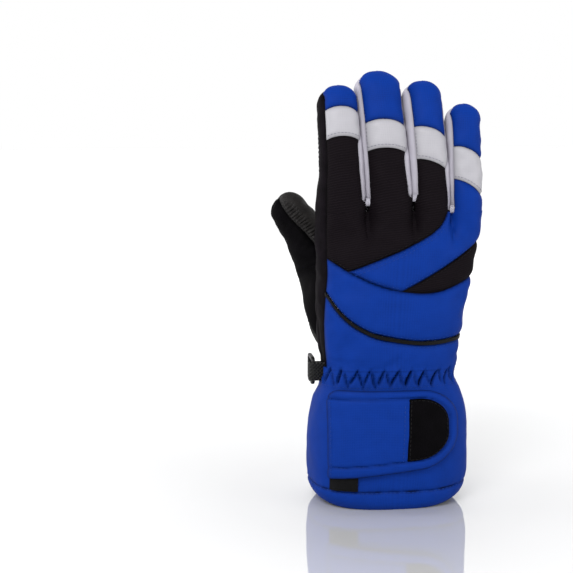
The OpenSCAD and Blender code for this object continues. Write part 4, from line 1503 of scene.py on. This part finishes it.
def webbing_fold():
    """A strip of webbing folded round the clip's bar, with its coarse weave in the mesh."""
    path = [[x, BAR_Y - WEB_R] for x in np.linspace(WEB_END, BAR_X, 14)]
    for t in np.linspace(0, math.pi, 14)[1:]:
        path.append([BAR_X - WEB_R * math.sin(t), BAR_Y - WEB_R * math.cos(t)])
    path += [[x, BAR_Y + WEB_R] for x in np.linspace(BAR_X, WEB_END, 14)[1:]]
    line = resample(np.array(path), WEB_STEP)
    ahead = unit(np.gradient(line, axis=0))
    outward = np.stack([-ahead[:, 1], ahead[:, 0]], 1)
    if outward[len(line) // 2, 0] > 0:
        outward = -outward
    cols = 38
    outer, inner, flat = [], [], []
    for i, (p, n) in enumerate(zip(line, outward)):
        s = i * WEB_STEP
        pinch = 0.8 * float(smoothstep(p[0], -45, -41))
        for w in np.linspace(-0.5, 0.5, cols) * WEB_W:
            rib = 0.3 * math.sin(w * WEAVE) * math.sin(s * WEAVE)
            edge = 0.25 * (1 - math.cos(min(1.0, (WEB_W / 2 - abs(w)) / 0.9) * math.pi / 2))
            top = p + n * (WEB_T / 2 + rib - 0.25 + edge - pinch * 0.2)
            under = p - n * (WEB_T / 2 - 0.1)
            outer.append([*top, CLIP_Z + w])
            inner.append([*under, CLIP_Z + w])
            flat.append([s * MM, w * MM])
    outer, inner, flat = np.array(outer), np.array(inner), np.array(flat)
    obj = slab("clip_webbing_fold", outer, inner, grid_faces(cols, len(line)), WEBBING, "hand", flat)
    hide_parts("clip_webbing")


webbing_fold()


def round_corners(points, radius, steps=6):
    """A path with its inner corners turned into arcs."""
    points = [np.array(p, float) for p in points]
    out = [points[0]]
    for before, corner, after in zip(points, points[1:], points[2:]):
        a, b = before - corner, after - corner
        r = min(radius, np.linalg.norm(a) * 0.49, np.linalg.norm(b) * 0.49)
        start, end = corner + unit(a) * r, corner + unit(b) * r
        for t in np.linspace(0, 1, steps):
            out.append((1 - t) ** 2 * start + 2 * t * (1 - t) * corner + t * t * end)
    out.append(points[-1])
    return np.array(out)


def moulded_bar(path, wide, thick, name, body, node):
    """A moulded rod of rounded section, its ends drawn in."""
    spacing, sides = 0.35, 20
    path = resample(np.asarray(path, float), spacing)
    count = len(path)
    run = np.minimum(np.arange(count), np.arange(count)[::-1]) * spacing
    size = np.sqrt(np.clip(1 - (1 - np.clip(run / 1.1, 0, 1)) ** 2, 0.03, 1))
    x = np.array([1.0, 0, 0])
    verts = []
    for p, ahead, k in zip(path, unit(np.gradient(path, axis=0)), size):
        y = np.cross(ahead, x)
        for t in np.arange(sides) * 2 * math.pi / sides:
            across_x, across_y = signed_power(math.cos(t), 0.7), signed_power(math.sin(t), 0.7)
            verts.append(p + k * (thick / 2 * across_x * x + wide / 2 * across_y * y))
    obj = new_mesh(name, verts, tube_faces(count, sides), PLASTIC, body)
    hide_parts(node)


frame_path = round_corners([
    [BAR_X, BAR_Y + y, CLIP_Z + z] for y, z in [
        (5, -ARM_Z), (0, -ARM_Z), (0, ARM_Z), (REACH, ARM_Z), (REACH, -ARM_Z), (9.6, -ARM_Z),
    ]
], 2.6)
moulded_bar(frame_path, 2.6, 2.5, "clip_frame_moulding", "clip", "clip_frame")
GATE_LENGTH, GATE_LEAN = 11, 0.42
gate_root = np.array([BAR_X, BAR_Y + REACH - 2.0, CLIP_Z + 2.4])
gate_path = []
for along in np.linspace(0, GATE_LENGTH, 24):
    sag = 0.5 * math.sin(math.pi * along / GATE_LENGTH)
    gate_path.append(gate_root - [0, along * math.cos(GATE_LEAN), along * math.sin(GATE_LEAN) + sag])
moulded_bar(gate_path, 1.8, 2.4, "clip_gate_tongue", "gate", "clip_gate")

# ---------------------------------------------------------------- camera, light and floor

scene = bpy.context.scene
azimuth, elevation = math.radians(-7), math.radians(8)
level = math.cos(elevation)
back = Vector((math.sin(azimuth) * level, -math.cos(azimuth) * level, math.sin(elevation)))
camera_data = bpy.data.cameras.new("camera")
camera_data.lens = 85
camera = bpy.data.objects.new("camera", camera_data)
camera.location = Vector((-0.0645, 0.008, 0.1402)) + back * 0.8854
camera.rotation_euler = back.to_track_quat("Z", "Y").to_euler()
scene.collection.objects.link(camera)
scene.camera = camera


def area_light(name, place, size, power, reflected=True):
    """A round lamp aimed at the glove's middle."""
    data = bpy.data.lights.new(name, "AREA")
    data.shape = "DISK"
    data.size, data.energy = size, power
    light = bpy.data.objects.new(name, data)
    light.location = place
    light.visible_glossy = reflected
    light.rotation_euler = (Vector(place) - Vector((0, 0, 0.14))).to_track_quat("Z", "Y").to_euler()
    scene.collection.objects.link(light)


area_light("key", (-0.55, -0.95, 1.05), 0.7, 17)
area_light("fill", (1.0, -0.75, 0.5), 0.9, 7)
area_light("top", (0.1, 0.35, 1.3), 0.9, 9, reflected=False)
area_light("side", (-1.1, 0.2, 0.45), 0.6, 5)
area_light("behind", (0.2, 1.2, 0.6), 0.9, 6, reflected=False)


def grey(value):
    return (value, value, value)


world = bpy.data.worlds.new("studio")
scene.world = world
world.use_nodes = True
tree = world.node_tree
split = add(tree, "ShaderNodeSeparateXYZ", _Vector=add(tree, "ShaderNodeTexCoord").outputs["Generated"])
# White all round near the horizon, dimmer overhead
horizon = ramp(tree, split.outputs["Z"], (0.0, grey(1.0)), (0.36, grey(1.0)), (0.5, grey(0.35)))
tree.links.new(horizon, tree.nodes["Background"].inputs["Color"])
tree.nodes["Background"].inputs["Strength"].default_value = 1.0
scene.view_settings.view_transform = "Standard"

# The floor glows towards its edges, so that it runs into the background
floor_material, tree, shader = new_material("studio_floor", (0.66, 0.66, 0.67), 0.6, 0, 0.5, 0.0)
distance = add(tree, "ShaderNodeVectorMath", operation="LENGTH")
tree.links.new(add(tree, "ShaderNodeTexCoord").outputs["Object"], distance.inputs[0])
half_distance = maths(tree, "MULTIPLY", distance.outputs["Value"], 0.5)
glow = ramp(tree, half_distance, (0.05, grey(0.02)), (0.25, grey(0.6)), (0.5, grey(1.0)))
tree.links.new(glow, shader.inputs["Emission Color"])
shader.inputs["Emission Strength"].default_value = 1.0
polish = add(tree, "ShaderNodeBsdfGlossy", _Roughness=0.04)
blend = add(tree, "ShaderNodeMixShader", _Fac=0.55)
tree.links.new(shader.outputs[0], blend.inputs[1])
tree.links.new(polish.outputs[0], blend.inputs[2])
output = next(n for n in tree.nodes if n.type == "OUTPUT_MATERIAL")
tree.links.new(blend.outputs[0], output.inputs["Surface"])
mesh = bpy.data.meshes.new("studio_floor")
side = 6.0
mesh.from_pydata([(-side, -side, 0), (side, -side, 0), (side, side, 0), (-side, side, 0)], [], [(0, 1, 2, 3)])
mesh.materials.append(floor_material)
floor = bpy.data.objects.new("studio_floor", mesh)
floor.location = (0, 0, -0.0002)
scene.collection.objects.link(floor)
